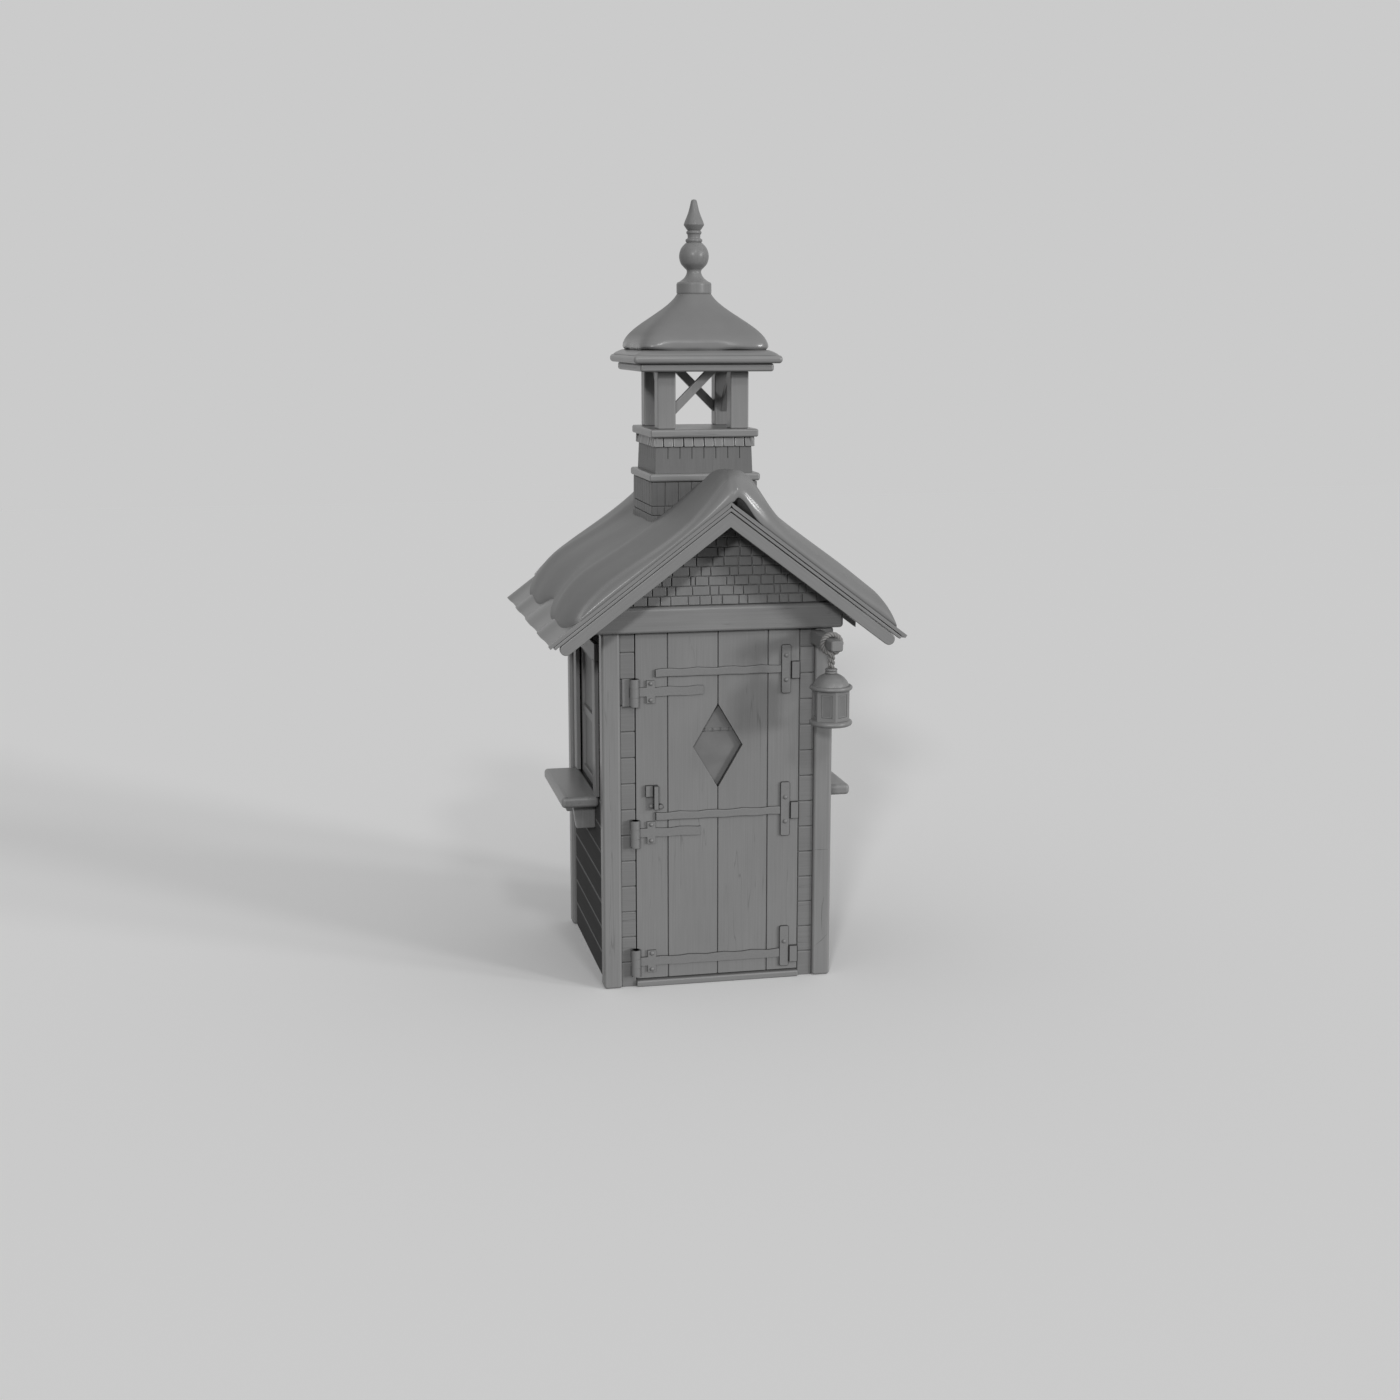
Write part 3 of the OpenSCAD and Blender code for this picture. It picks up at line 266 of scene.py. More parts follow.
def ease(work, edges, width, segments=3):
    """Round the given edges and give the new faces the edge mark, read as wear and painted light."""
    made = bmesh.ops.bevel(work, geom=edges, offset=width, segments=segments, profile=0.5,
                           affect="EDGES", clamp_overlap=True)
    mark(work, made["faces"], "wear_painted_light_and_glaze", 1.0)


def sharp_edges(work, degrees=30):
    """Outer edges where two faces meet at more than the given angle."""
    return [e for e in work.edges
            if e.is_manifold and e.is_convex and e.calc_face_angle(0) > math.radians(degrees)]


def add_block(work, low, high, width, tone=0.0, segments=3):
    """Add one squared timber from corner to corner, all its edges eased."""
    before = set(work.faces)
    verts = bmesh.ops.create_cube(work, size=1.0)["verts"]
    for vert in verts:
        vert.co = Vector([(a + b) / 2 + c * (b - a) for a, b, c in zip(low, high, vert.co)])
    edges = list(dict.fromkeys(e for v in verts for e in v.link_edges))
    ease(work, edges, width, segments)
    mark(work, [f for f in work.faces if f not in before], "board", tone)


def blocks_of(node, rounding, spread=0.0, segments=3):
    """Each solid of a CAD node as an eased timber, with a tone of its own within the spread."""
    work = blank()
    for low, high in solids_of(node):
        add_block(work, low, high, rounding, draw.uniform(-spread, spread) if spread else 0.0, segments)
    return work


def settle(name, source, material, nodes=(), body="shed", crease=35):
    """Make a finished piece of a bmesh or mesh: shaded, painted, on its body, in place of its nodes."""
    mesh = as_mesh(source) if isinstance(source, bmesh.types.BMesh) else source
    mesh.name = name
    mesh.materials.clear()
    mesh.materials.append(material)
    mesh.shade_smooth()
    mesh.set_sharp_from_angle(angle=math.radians(crease))
    piece = bpy.data.objects.new(name, mesh)
    scene.collection.objects.link(piece)
    if crease < 90:
        piece.modifiers.new("flat faces stay flat", "WEIGHTED_NORMAL").keep_sharp = True
    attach(piece, body)
    if nodes:
        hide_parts(*nodes)


def dress(node, material, rounding, spread=0.0, segments=3):
    """Finish a CAD node of squared timbers."""
    settle(node + "_dressed", blocks_of(node, rounding, spread, segments), material, [node])


def eased(node, material, rounding, segments=3, degrees=30, body="shed"):
    """Finish a CAD node as it is, with its sharp edges eased."""
    work = merged_copy(node)
    ease(work, sharp_edges(work, degrees), rounding, segments)
    settle(node + "_dressed", work, material, [node], body)


POST_ROUND = 0.016
POST_SPREAD = 0.3
FRAME_GREY = "#828282"
CRACK_WIDE = 0.0028
CRACK_SHADE_TONE = -4.5
CRACK_TIP_SHARE = 0.2
CRACK_PROUD = 0.0002
CRACKS = (((0.541, 0.724), (0.57, 0.7225), (0.618, 0.722)), ((0.547, 0.172), (0.585, 0.2), (0.62, 0.237)),
          ((0.599, 0.455), (0.588, 0.4), (0.586, 0.33), (0.59, 0.236)))


def add_crack(work, points, y):
    """Add a drying crack along points in X and Z on a front face, as a thin strip painted dark as the shade
    inside it.
    """
    sides = []
    for k, (x, z) in enumerate(points):
        ahead = Vector(points[min(k + 1, len(points) - 1)]) - Vector(points[max(k - 1, 0)])
        across = Vector((-ahead.y, ahead.x)).normalized() * CRACK_WIDE / 2
        across *= CRACK_TIP_SHARE if k in (0, len(points) - 1) else 1.0
        sides.append([work.verts.new((x + s * across.x, y, z + s * across.y)) for s in (-1, 1)])
    for a, b in zip(sides, sides[1:]):
        face = work.faces.new((a[0], b[0], b[1], a[1]))
        face.normal_update()
        if face.normal.y > 0:
            face.normal_flip()
        mark(work, [face], "board", CRACK_SHADE_TONE)


draw = random.Random(7)
upright_pine = painted_pine("painted pine, upright grain", FRAME_GREY, "z")
work = blocks_of("corner_posts", POST_ROUND, POST_SPREAD, 4)
for points in CRACKS:
    add_crack(work, points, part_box("corner_posts")[0].y - CRACK_PROUD)
settle("corner_posts_dressed", work, upright_pine, ["corner_posts"])


# Floor deck and door sill: pine boards on the ground inside the posts, and one sawn beam across
# the door opening. The deck is five boards nailed edge to edge, with open joints.
DECK_BOARDS = 5
DECK_JOINT = 0.004
DECK_ROUND = 0.003
DECK_SPREAD = 0.5
SILL_ROUND = 0.009
lengthwise_pine = painted_pine("painted pine, grain front to back", FRAME_GREY, "y")
crosswise_pine = painted_pine("painted pine, grain across", FRAME_GREY, "x")

deck_low, deck_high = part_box("floor_deck")
post_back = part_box("left_wall")[1].y
pitch = (deck_high.x - deck_low.x) / DECK_BOARDS
work = blank()
for i in range(DECK_BOARDS):
    end = post_back if i in (0, DECK_BOARDS - 1) else deck_high.y
    left = deck_low.x + i * pitch
    add_block(work, (left + DECK_JOINT / 2, -end, deck_low.z),
              (left + pitch - DECK_JOINT / 2, end, deck_high.z), DECK_ROUND,
              draw.uniform(-DECK_SPREAD, DECK_SPREAD))
settle("floor_boards", work, lengthwise_pine, ["floor_deck"])
dress("door_sill", crosswise_pine, SILL_ROUND)


# Siding: painted pine boards laid in level courses between the posts, each with rounded long
# edges that leave a dark groove, on a plain core. Below, beside and over the side windows the
# courses stop under the casings. On the side walls the boards are painted darker as painted
# shade, with a strong painted highlight along their rounded edges.
COURSE_RISE = 0.143
FIRST_GROOVE = 0.139
COURSE_GAP = 0.004
COURSE_ROUND = 0.006
BOARD_THICK = 0.014
BOARD_SLACK = 0.0012
CASING_LAP = 0.03
CAD_GROOVE = 0.006
SIDING_SEED = 11
WALL_GREY = "#7e7e7e"
# Side walls: a darker grey as painted shade, and rounded board edges much lighter as painted highlight
SIDE_SHADE_GREY = "#5f5f5f"
WALL_SHINE = 0.0
SIDE_EDGE_HIGHLIGHT = 0.9


def new_tree(name, sockets):
    """Geometry Nodes tree with named inputs, and the outputs of its input node."""
    tree = bpy.data.node_groups.new(name, "GeometryNodeTree")
    tree.interface.new_socket("Geometry", in_out="OUTPUT", socket_type="NodeSocketGeometry")
    tree.interface.new_socket("Geometry", in_out="INPUT", socket_type="NodeSocketGeometry")
    for socket, kind in sockets.items():
        tree.interface.new_socket(socket, in_out="INPUT", socket_type="NodeSocket" + kind)
    return tree, add_node(tree, "NodeGroupInput", give=None)


def close_tree(tree, geometry, material, seed=None):
    """End a tree: with a seed, a tone for each instance, then realize them and set the material."""
    if seed is not None:
        tone = add_node(tree, "FunctionNodeRandomValue", {2: -0.5, 3: 0.5, "Seed": seed},
                        data_type="FLOAT", give=1)
        geometry = add_node(tree, "GeometryNodeStoreNamedAttribute",
                            {"Geometry": geometry, "Name": "board", "Value": tone},
                            data_type="FLOAT", domain="INSTANCE")
    whole = add_node(tree, "GeometryNodeRealizeInstances", {"Geometry": geometry})
    painted = add_node(tree, "GeometryNodeSetMaterial", {"Geometry": whole, "Material": material})
    add_node(tree, "NodeGroupOutput", {0: painted})


def grow(name, base, tree, values):
    """Run a tree on a base mesh or curve and return the result as a plain mesh."""
    carrier = bpy.data.objects.new(name, base)
    scene.collection.objects.link(carrier)
    modifier = carrier.modifiers.new(name, "NODES")
    modifier.node_group = tree
    for item in tree.interface.items_tree:
        if item.in_out == "INPUT" and item.name in values:
            modifier[item.identifier] = values[item.name]
    graph = bpy.context.evaluated_depsgraph_get()
    mesh = bpy.data.meshes.new_from_object(carrier.evaluated_get(graph), depsgraph=graph)
    carrier.modifiers.remove(modifier)
    bpy.data.objects.remove(carrier)
    return mesh


courses_tree, given = new_tree("board courses", {
    "Count": "Int", "Rise": "Float", "Slack": "Vector", "Seed": "Int", "Material": "Material"})
step = add_node(courses_tree, "ShaderNodeCombineXYZ", {2: given["Rise"]})
line = add_node(courses_tree, "GeometryNodeMeshLine", {"Count": given["Count"], "Offset": step})
laid = add_node(courses_tree, "GeometryNodeInstanceOnPoints",
                {"Points": line, "Instance": given["Geometry"]})
least = add_node(courses_tree, "ShaderNodeVectorMath", {0: given["Slack"], "Scale": -1.0}, operation="SCALE")
slack = add_node(courses_tree, "FunctionNodeRandomValue",
                 {0: least, 1: given["Slack"], "Seed": given["Seed"]}, data_type="FLOAT_VECTOR")
laid = add_node(courses_tree, "GeometryNodeTranslateInstances", {"Instances": laid, "Translation": slack})
close_tree(courses_tree, laid, given["Material"], given["Seed"])


def trim(work, point, normal):
    """Cut away what lies beyond a plane and close the cut."""
    cut = bmesh.ops.bisect_plane(work, geom=work.verts[:] + work.edges[:] + work.faces[:], dist=1e-6,
                                 plane_co=point, plane_no=normal, clear_outer=True)["geom_cut"]
    edges = [e for e in cut if isinstance(e, bmesh.types.BMEdge)]
    bmesh.ops.edgeloop_fill(work, edges=edges)


def weld(work):
    """Merge the corners that a move has laid together."""
    bmesh.ops.remove_doubles(work, verts=work.verts, dist=1e-5)
    bmesh.ops.dissolve_degenerate(work, edges=work.edges, dist=1e-5)


def sided_wall(node, axis, outward, spans, material):
    """Wall of a core with board courses on its outer face. Spans: from, to, first course, count."""
    low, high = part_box(node)
    face = (high if outward > 0 else low)[axis]
    core_face = face - outward * BOARD_THICK
    work = merged_copy(node)
    for vert in work.verts:
        if abs(vert.co[axis] - face) < CAD_GROOVE + 1e-4:
            vert.co[axis] = core_face
    weld(work)
    for seed, (start, end, first, count) in enumerate(spans):
        foot = FIRST_GROOVE + (first - 1) * COURSE_RISE
        one = blank()
        ends = [[start, start, foot + COURSE_GAP / 2], [end, end, foot + COURSE_RISE - COURSE_GAP / 2]]
        ends[0][axis], ends[1][axis] = sorted((core_face, face - outward * BOARD_SLACK))
        add_block(one, *ends, COURSE_ROUND)
        slack = [0.0, 0.0, 0.0]
        slack[axis] = BOARD_SLACK
        boards = blank()
        boards.from_mesh(grow(node, as_mesh(one), courses_tree, {
            "Count": count, "Rise": COURSE_RISE, "Slack": slack, "Seed": SIDING_SEED + seed,
            "Material": material}))
        for level, way in ((high.z, 1), (low.z, -1)):
            trim(boards, (0, 0, level), (0, 0, way))
        work.from_mesh(as_mesh(boards))
    settle(node + "_siding", work, material, [node])


shaded_siding_along = painted_pine("painted siding in painted shade, grain front to back", SIDE_SHADE_GREY, "y",
                            shine=WALL_SHINE, wear_and_highlight=SIDE_EDGE_HIGHLIGHT)
siding_across = painted_pine("painted siding, grain across", WALL_GREY, "x", shine=WALL_SHINE)
wall_low, wall_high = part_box("left_wall")
course_count = math.ceil((wall_high.z - FIRST_GROOVE) / COURSE_RISE) + 1
glass_low = min(low.z for low, high in solids_of("left_window_frame"))
casing_low, casing_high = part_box("left_window_frame")
first_split = math.floor((glass_low - FIRST_GROOVE) / COURSE_RISE) + 1
last_split = math.floor((casing_high.z - 2 * CASING_LAP - FIRST_GROOVE) / COURSE_RISE) + 1
split_count = last_split - first_split + 1
side_spans = [
    (wall_low.y, wall_high.y, 0, first_split),
    (wall_low.y, casing_low.y + CASING_LAP, first_split, split_count),
    (casing_high.y - CASING_LAP, wall_high.y, first_split, split_count),
    (wall_low.y, wall_high.y, last_split + 1, course_count - last_split - 1)]
for node, outward in (("left_wall", -1), ("right_wall", 1)):
    sided_wall(node, 0, outward, side_spans, shaded_siding_along)
for node, outward in (("front_wall_left", -1), ("front_wall_right", -1), ("back_wall", 1)):
    low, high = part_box(node)
    sided_wall(node, 1, outward, [(low.x, high.x, 0, course_count)], siding_across)


# Headers, wall plates and rafters: heavy pine timbers. The headers lie across the posts with
# well rounded ends, the plates run between them, and the rafters are notched over the plates.
HEADER_ROUND = 0.02
PLATE_ROUND = 0.006
RAFTER_ROUND = 0.004
ROOF_PITCH = math.radians(37)
sloping_pine = painted_pine("painted pine, grain up the slope", FRAME_GREY, "x", ROOF_PITCH)
for node in ("front_header", "back_header"):
    dress(node, crosswise_pine, HEADER_ROUND, segments=5)
dress("wall_plates", lengthwise_pine, PLATE_ROUND)
eased("rafters", sloping_pine, RAFTER_ROUND, 2)


# Gable shingles: short pine shingles nailed over the gable walls in level courses, cut to
# uneven widths, thicker at the foot than at the head, and trimmed to the slope of the roof.
SHINGLE_WIDE = 0.072
SHINGLE_RISE = 0.0515
SHINGLE_THICK = 0.016
SHINGLE_TAPER = 0.005
SHINGLE_GAP = 0.006
SHINGLE_ROUND = 0.0032
SHINGLE_WANDER = 0.026
SHINGLE_TILT = math.radians(1.8)
SHINGLE_LIFT = 0.0025
SHINGLE_SEED = 5
ROW_STRIDE = 211.0
SHINGLE_GREY = "#7c7c7c"

rows_tree, given = new_tree("rows of cut blocks", {
    "Columns": "Int", "Rows": "Int", "Pitch": "Float", "Rise": "Float", "Gap": "Float", "Wander": "Float",
    "Slide": "Float", "Lift": "Float", "Tilt": "Float", "Twist": "Float", "Block": "Float", "Seed": "Int",
    "Material": "Material"})
total = add_node(rows_tree, "ShaderNodeMath", {0: given["Columns"], 1: given["Rows"]}, operation="MULTIPLY")
line = add_node(rows_tree, "GeometryNodeMeshLine", {"Count": total, "Offset": (0.0, 0.0, 0.0)})
index = add_node(rows_tree, "GeometryNodeInputIndex")
row = add_node(rows_tree, "ShaderNodeMath", {0: index, 1: given["Columns"]}, operation="DIVIDE")
row = add_node(rows_tree, "ShaderNodeMath", {0: row}, operation="FLOOR")
start = add_node(rows_tree, "ShaderNodeMath", {0: row, 1: given["Columns"]}, operation="MULTIPLY")
column = add_node(rows_tree, "ShaderNodeMath", {0: index, 1: start}, operation="SUBTRACT")
slide = add_node(rows_tree, "FunctionNodeRandomValue", {2: -1.0, 3: 1.0, "ID": row, "Seed": given["Seed"]},
                 data_type="FLOAT", give=1)
slide = add_node(rows_tree, "ShaderNodeMath", {0: slide, 1: given["Slide"]}, operation="MULTIPLY")
joints = []
for side in (0.0, 1.0):
    here = add_node(rows_tree, "ShaderNodeMath", {0: column, 1: side}, operation="ADD")
    name = add_node(rows_tree, "ShaderNodeMath", {0: row, 1: ROW_STRIDE, 2: here}, operation="MULTIPLY_ADD")
    stray = add_node(rows_tree, "FunctionNodeRandomValue",
                     {2: -1.0, 3: 1.0, "ID": name, "Seed": given["Seed"]}, data_type="FLOAT", give=1)
    even = add_node(rows_tree, "ShaderNodeMath", {0: here, 1: given["Pitch"], 2: slide},
                    operation="MULTIPLY_ADD")
    joints.append(add_node(rows_tree, "ShaderNodeMath", {0: stray, 1: given["Wander"], 2: even},
                           operation="MULTIPLY_ADD"))
middle = add_node(rows_tree, "ShaderNodeMath", {0: joints[0], 1: joints[1]}, operation="ADD")
middle = add_node(rows_tree, "ShaderNodeMath", {0: middle, 1: 0.5}, operation="MULTIPLY")
width = add_node(rows_tree, "ShaderNodeMath", {0: joints[1], 1: joints[0]}, operation="SUBTRACT")
width = add_node(rows_tree, "ShaderNodeMath", {0: width, 1: given["Gap"]}, operation="SUBTRACT")
width = add_node(rows_tree, "ShaderNodeMath", {0: width, 1: given["Block"]}, operation="DIVIDE")
strays = []
for use, seed in (("Lift", 3), ("Tilt", 8), ("Twist", 14)):
    stray = add_node(rows_tree, "FunctionNodeRandomValue", {2: -1.0, 3: 1.0, "Seed": seed},
                     data_type="FLOAT", give=1)
    strays.append(add_node(rows_tree, "ShaderNodeMath", {0: stray, 1: given[use]}, operation="MULTIPLY"))
level = add_node(rows_tree, "ShaderNodeMath", {0: row, 1: given["Rise"]}, operation="MULTIPLY")
place = add_node(rows_tree, "ShaderNodeCombineXYZ", {0: middle, 1: strays[0], 2: level})
line = add_node(rows_tree, "GeometryNodeSetPosition", {"Geometry": line, "Position": place})
size = add_node(rows_tree, "ShaderNodeCombineXYZ", {0: width, 1: 1.0, 2: 1.0})
turn = add_node(rows_tree, "ShaderNodeCombineXYZ", {1: strays[1], 2: strays[2]})
laid = add_node(rows_tree, "GeometryNodeInstanceOnPoints", {
    "Points": line, "Instance": given["Geometry"], "Rotation": turn, "Scale": size})
close_tree(rows_tree, laid, given["Material"], given["Seed"])


def cut_block(width, thick, height, taper, rounding):
    """One block that stands on the wall plane y = 0 and faces -Y, thinner at its head."""
    work = blank()
    add_block(work, (-width / 2, -thick, 0), (width / 2, 0, height), rounding, segments=2)
    for vert in work.verts:
        vert.co.y += taper * vert.co.z / height * (-vert.co.y / thick)
    return as_mesh(work)


shingle_pine = painted_pine("painted shingles, upright grain", SHINGLE_GREY, "z")
gable_low, gable_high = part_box("front_gable")
columns = math.ceil((gable_high.x - gable_low.x) / SHINGLE_WIDE) + 2
rows = math.ceil((gable_high.z - gable_low.z) / SHINGLE_RISE)
shingles = grow("shingles", cut_block(SHINGLE_WIDE, SHINGLE_THICK, SHINGLE_RISE - SHINGLE_GAP,
                                      SHINGLE_TAPER, SHINGLE_ROUND), rows_tree, {
    "Columns": columns, "Rows": rows, "Pitch": SHINGLE_WIDE, "Rise": SHINGLE_RISE, "Gap": SHINGLE_GAP,
    "Wander": SHINGLE_WANDER, "Slide": SHINGLE_WIDE / 2, "Lift": SHINGLE_LIFT, "Tilt": SHINGLE_TILT,
    "Block": SHINGLE_WIDE, "Seed": SHINGLE_SEED, "Material": shingle_pine})
for node, turn in (("front_gable", 0), ("back_gable", math.pi)):
    work = blank()
    work.from_mesh(shingles)
    work.transform(Matrix.Translation(
        (-columns * SHINGLE_WIDE / 2, gable_low.y, gable_low.z + SHINGLE_GAP / 2)))
    for side in (-1, 1):
        trim(work, (0, 0, gable_high.z), (side * math.sin(ROOF_PITCH), 0, math.cos(ROOF_PITCH)))
    work.transform(Matrix.Rotation(turn, 4, "Z"))
    settle(node + "_shingles", work, shingle_pine)
    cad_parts[node].material_slots[0].material = shingle_pine


# Roof sheets: soft sheet laid over the rafters from ridge to eaves. It falls in broad uneven
# waves that deepen towards the eaves, where its edge hangs bare and wavy below the snow.
SHEET_GREY = "#808080"
SHEET_WAVES = 4
SHEET_STRAY = 0.5
SHEET_LEAN = 0.55
SHEET_WAVE = 0.012
SHEET_EAVE_WAVE = 0.009
SHEET_EDGE_WAVE = 0.007
SHEET_UNDER_SHARE = 0.6
RIDGE_CLEAR = 0.0002
VERGE_THICK = 0.0185
VERGE_WIDE = 0.05
SHEET_STEPS = 50
SHEET_FILES = 200


def bell(distance, width):
    """Bell curve of a distance, with its half-width."""
    return np.exp(-(distance / width) ** 2)


def shell(top, bottom, keep):
    """Closed bmesh between two grids of points, over the cells that are kept."""
    rows, files = top.shape[:2]
    work = blank()
    used = np.zeros((rows, files), bool)
    for i, j in ((0, 0), (1, 0), (0, 1), (1, 1)):
        used[i:rows - 1 + i, j:files - 1 + j] |= keep
    upper, lower = {}, {}
    for i, j in zip(*np.nonzero(used)):
        upper[i, j] = work.verts.new(top[i, j])
        lower[i, j] = work.verts.new(bottom[i, j])
    sides = {}
    for i, j in zip(*np.nonzero(keep)):
        ring = [(i, j), (i, j + 1), (i + 1, j + 1), (i + 1, j)]
        work.faces.new([upper[k] for k in ring])
        work.faces.new([lower[k] for k in reversed(ring)])
        for a, b in zip(ring, ring[1:] + ring[:1]):
            if (b, a) in sides:
                del sides[b, a]
            else:
                sides[a, b] = True
    for a, b in sides:
        work.faces.new([upper[b], upper[a], lower[a], lower[b]])
    bmesh.ops.recalc_face_normals(work, faces=work.faces)
    return work


sheet_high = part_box("right_roof_sheet")[1]
cosine, sine = math.cos(ROOF_PITCH), math.sin(ROOF_PITCH)
slope = sine / cosine
ridge_z = sheet_high.z
roof_half_w = sheet_high.x
roof_half_d = sheet_high.y
under_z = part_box("front_gable")[1].z
sheet_thick = (ridge_z - under_z) * cosine
down = np.linspace(0, roof_half_w / cosine, SHEET_STEPS)[None, :]
along = np.linspace(-roof_half_d, roof_half_d, SHEET_FILES)[:, None]
soft_sheet = painted_pine("painted roofing sheet, brushed down the slope", SHEET_GREY, "x", ROOF_PITCH)


def on_slope(distance, depth):
    """X and Z of points down the right slope, at a depth square to it."""
    return distance * cosine - depth * sine, ridge_z - distance * sine - depth * cosine


def sheet_wave(y):
    """Depth of the waves along the roof, from 0 on a crest to 1 in a valley."""
    share = (y / roof_half_d + 1) / 2
    stray = SHEET_STRAY * (np.sin(2 * math.pi * share) + 0.6 * np.sin(6 * math.pi * share))
    turn = 2 * math.pi * SHEET_WAVES * share + stray
    return (1 - np.cos(turn + SHEET_LEAN * np.sin(turn))) / 2


def sheet_sink(y, down_share):
    """How far the top of the sheet sinks under its plane. The waves deepen towards the eaves."""
    return (SHEET_WAVE + SHEET_EAVE_WAVE * down_share ** 4) * sheet_wave(y)


for node, side in (("left_roof_sheet", -1), ("right_roof_sheet", 1)):
    wave = sheet_wave(along)
    eave = (down / down.max()) ** 4
    sink = sheet_sink(along, down / down.max())
    reach = down - SHEET_EDGE_WAVE * eave * wave
    rows = []
    thick = sheet_thick + (VERGE_THICK - sheet_thick) * bell(roof_half_d - np.abs(along), VERGE_WIDE)
    for depth in (sink, thick + SHEET_UNDER_SHARE * SHEET_EAVE_WAVE * eave * wave):
        x, z = on_slope(reach, depth)
        rows.append(np.stack([side * np.maximum(x, RIDGE_CLEAR), along + 0 * x, z], axis=2))
    work = shell(*rows, np.ones((SHEET_FILES - 1, SHEET_STEPS - 1), bool))
    settle(node + "_waved", work, soft_sheet, [node], crease=50)


# Barge boards: a pine board with a round lower end and a thin strip over it, under the edge of the
# sheets at the front and back. Both halves meet at the ridge, and open joints part the layers.
BARGE_ROUND = 0.005
BARGE_DEEP = 0.062
BARGE_THICK = 0.035
BARGE_SHORT = 0.031
STRIP_DEEP = 0.0235
STRIP_SHORT = 0.017
LAYER_JOINT = 0.003
ROUND_STEPS = 10


def chevron(upper, lower, short, round_end):
    """Outline of a board along both slopes between two depths, with square or round ends."""
    end = roof_half_w / cosine - short
    radius = (lower - upper) / 2
    if round_end:
        angles = [math.pi * (k / ROUND_STEPS - 0.5) for k in range(ROUND_STEPS + 1)]
        tail = [(end - radius + radius * math.cos(a), upper + radius + radius * math.sin(a)) for a in angles]
    else:
        tail = [(end, upper), (end, lower)]
    right = [on_slope(s, d) for s, d in tail]
    left = [(-x, z) for x, z in reversed(right)]
    return [(0.0, ridge_z - upper / cosine)] + right + [(0.0, ridge_z - lower / cosine)] + left


def slab(outline, front, back):
    """Board cut to an outline in X and Z, between two depths."""
    work = blank()
    face = work.faces.new([work.verts.new((x, front, z)) for x, z in outline])
    for item in bmesh.ops.extrude_face_region(work, geom=[face])["geom"]:
        if isinstance(item, bmesh.types.BMVert):
            item.co.y = back
    bmesh.ops.recalc_face_normals(work, faces=work.faces)
    return work


strip_foot = VERGE_THICK + STRIP_DEEP
barge_low, barge_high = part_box("front_barge_boards")
layers = [
    (chevron(VERGE_THICK + LAYER_JOINT, strip_foot - LAYER_JOINT, STRIP_SHORT, False), barge_low.y),
    (chevron(strip_foot, strip_foot + BARGE_DEEP, BARGE_SHORT, True), barge_high.y - BARGE_THICK)]
for node, turn in (("front_barge_boards", 0), ("back_barge_boards", math.pi)):
    work = blank()
    for outline, front in layers:
        board = slab(outline, front, barge_high.y)
        ease(board, sharp_edges(board, 40), BARGE_ROUND)
        work.from_mesh(as_mesh(board))
    work.transform(Matrix.Rotation(turn, 4, "Z"))
    settle(node + "_dressed", work, sloping_pine, [node])


# Roof snow: one deep blanket over both slopes. It is drifted high along the right of the ridge,
# lies in two lobes on the left with a furrow between them, thins against the cupola and is
# undercut at the front of the drift. It rounds off towards every edge.
SNOW_GREY = "#7b7b7b"
SNOW_DEEP = 0.118
DRIFT_DEEP, DRIFT_AT, DRIFT_WIDE = 0.095, 0.12 * roof_half_w, 0.14 * roof_half_w
LOBE_DEEP, LOBE_AT, LOBE_WIDE = 0.012, 0.586 * roof_half_w, 0.272 * roof_half_w
FURROW_AT, FURROW_WIDE, FURROW_SHARE = -0.02 * roof_half_d, 0.17 * roof_half_d, 0.55
BARE_LEFT, BARE_RIGHT, FURROW_NOTCH = 0.098, 0.06, 0.056
CORNER_NOTCH, CORNER_WIDE = 0.07, 0.19 * roof_half_d
EAVE_ROLL_LEFT, EAVE_ROLL_RIGHT, VERGE_ROLL = 0.19, 0.09, 0.45
DRIFT_ROLL, DRIFT_ROLL_WIDE = 0.18, 0.25 * roof_half_w
CORNER_ROLL, CORNER_ROLL_WIDE = 0.16, 0.32 * roof_half_w
HOLLOW_DEEP, HOLLOW_LONG = 0.055, 0.12
HOLLOW_AT, HOLLOW_WIDE = 0.058 * roof_half_w, 0.062 * roof_half_w
HOLLOW_STEEP = 0.04 * roof_half_w
THIN_SHARE, THIN_REACH = 0.4, 0.3
LULL_SHARE, LULL_REACH = 0.4, 0.2
BANK_DEEP = 0.016
SNOW_LIP, SNOW_SEAT = 0.012, 0.0004
GLAZE_FULL, GLAZE_FADE, GLAZE_END = 0.05, 0.06, 0.15 * roof_half_w
RIDGE_SOFT = 0.03
SWELL = 0.004
SNOW_STEPS, SNOW_FOOT_STEPS, SNOW_FILES = 80, 60, 200


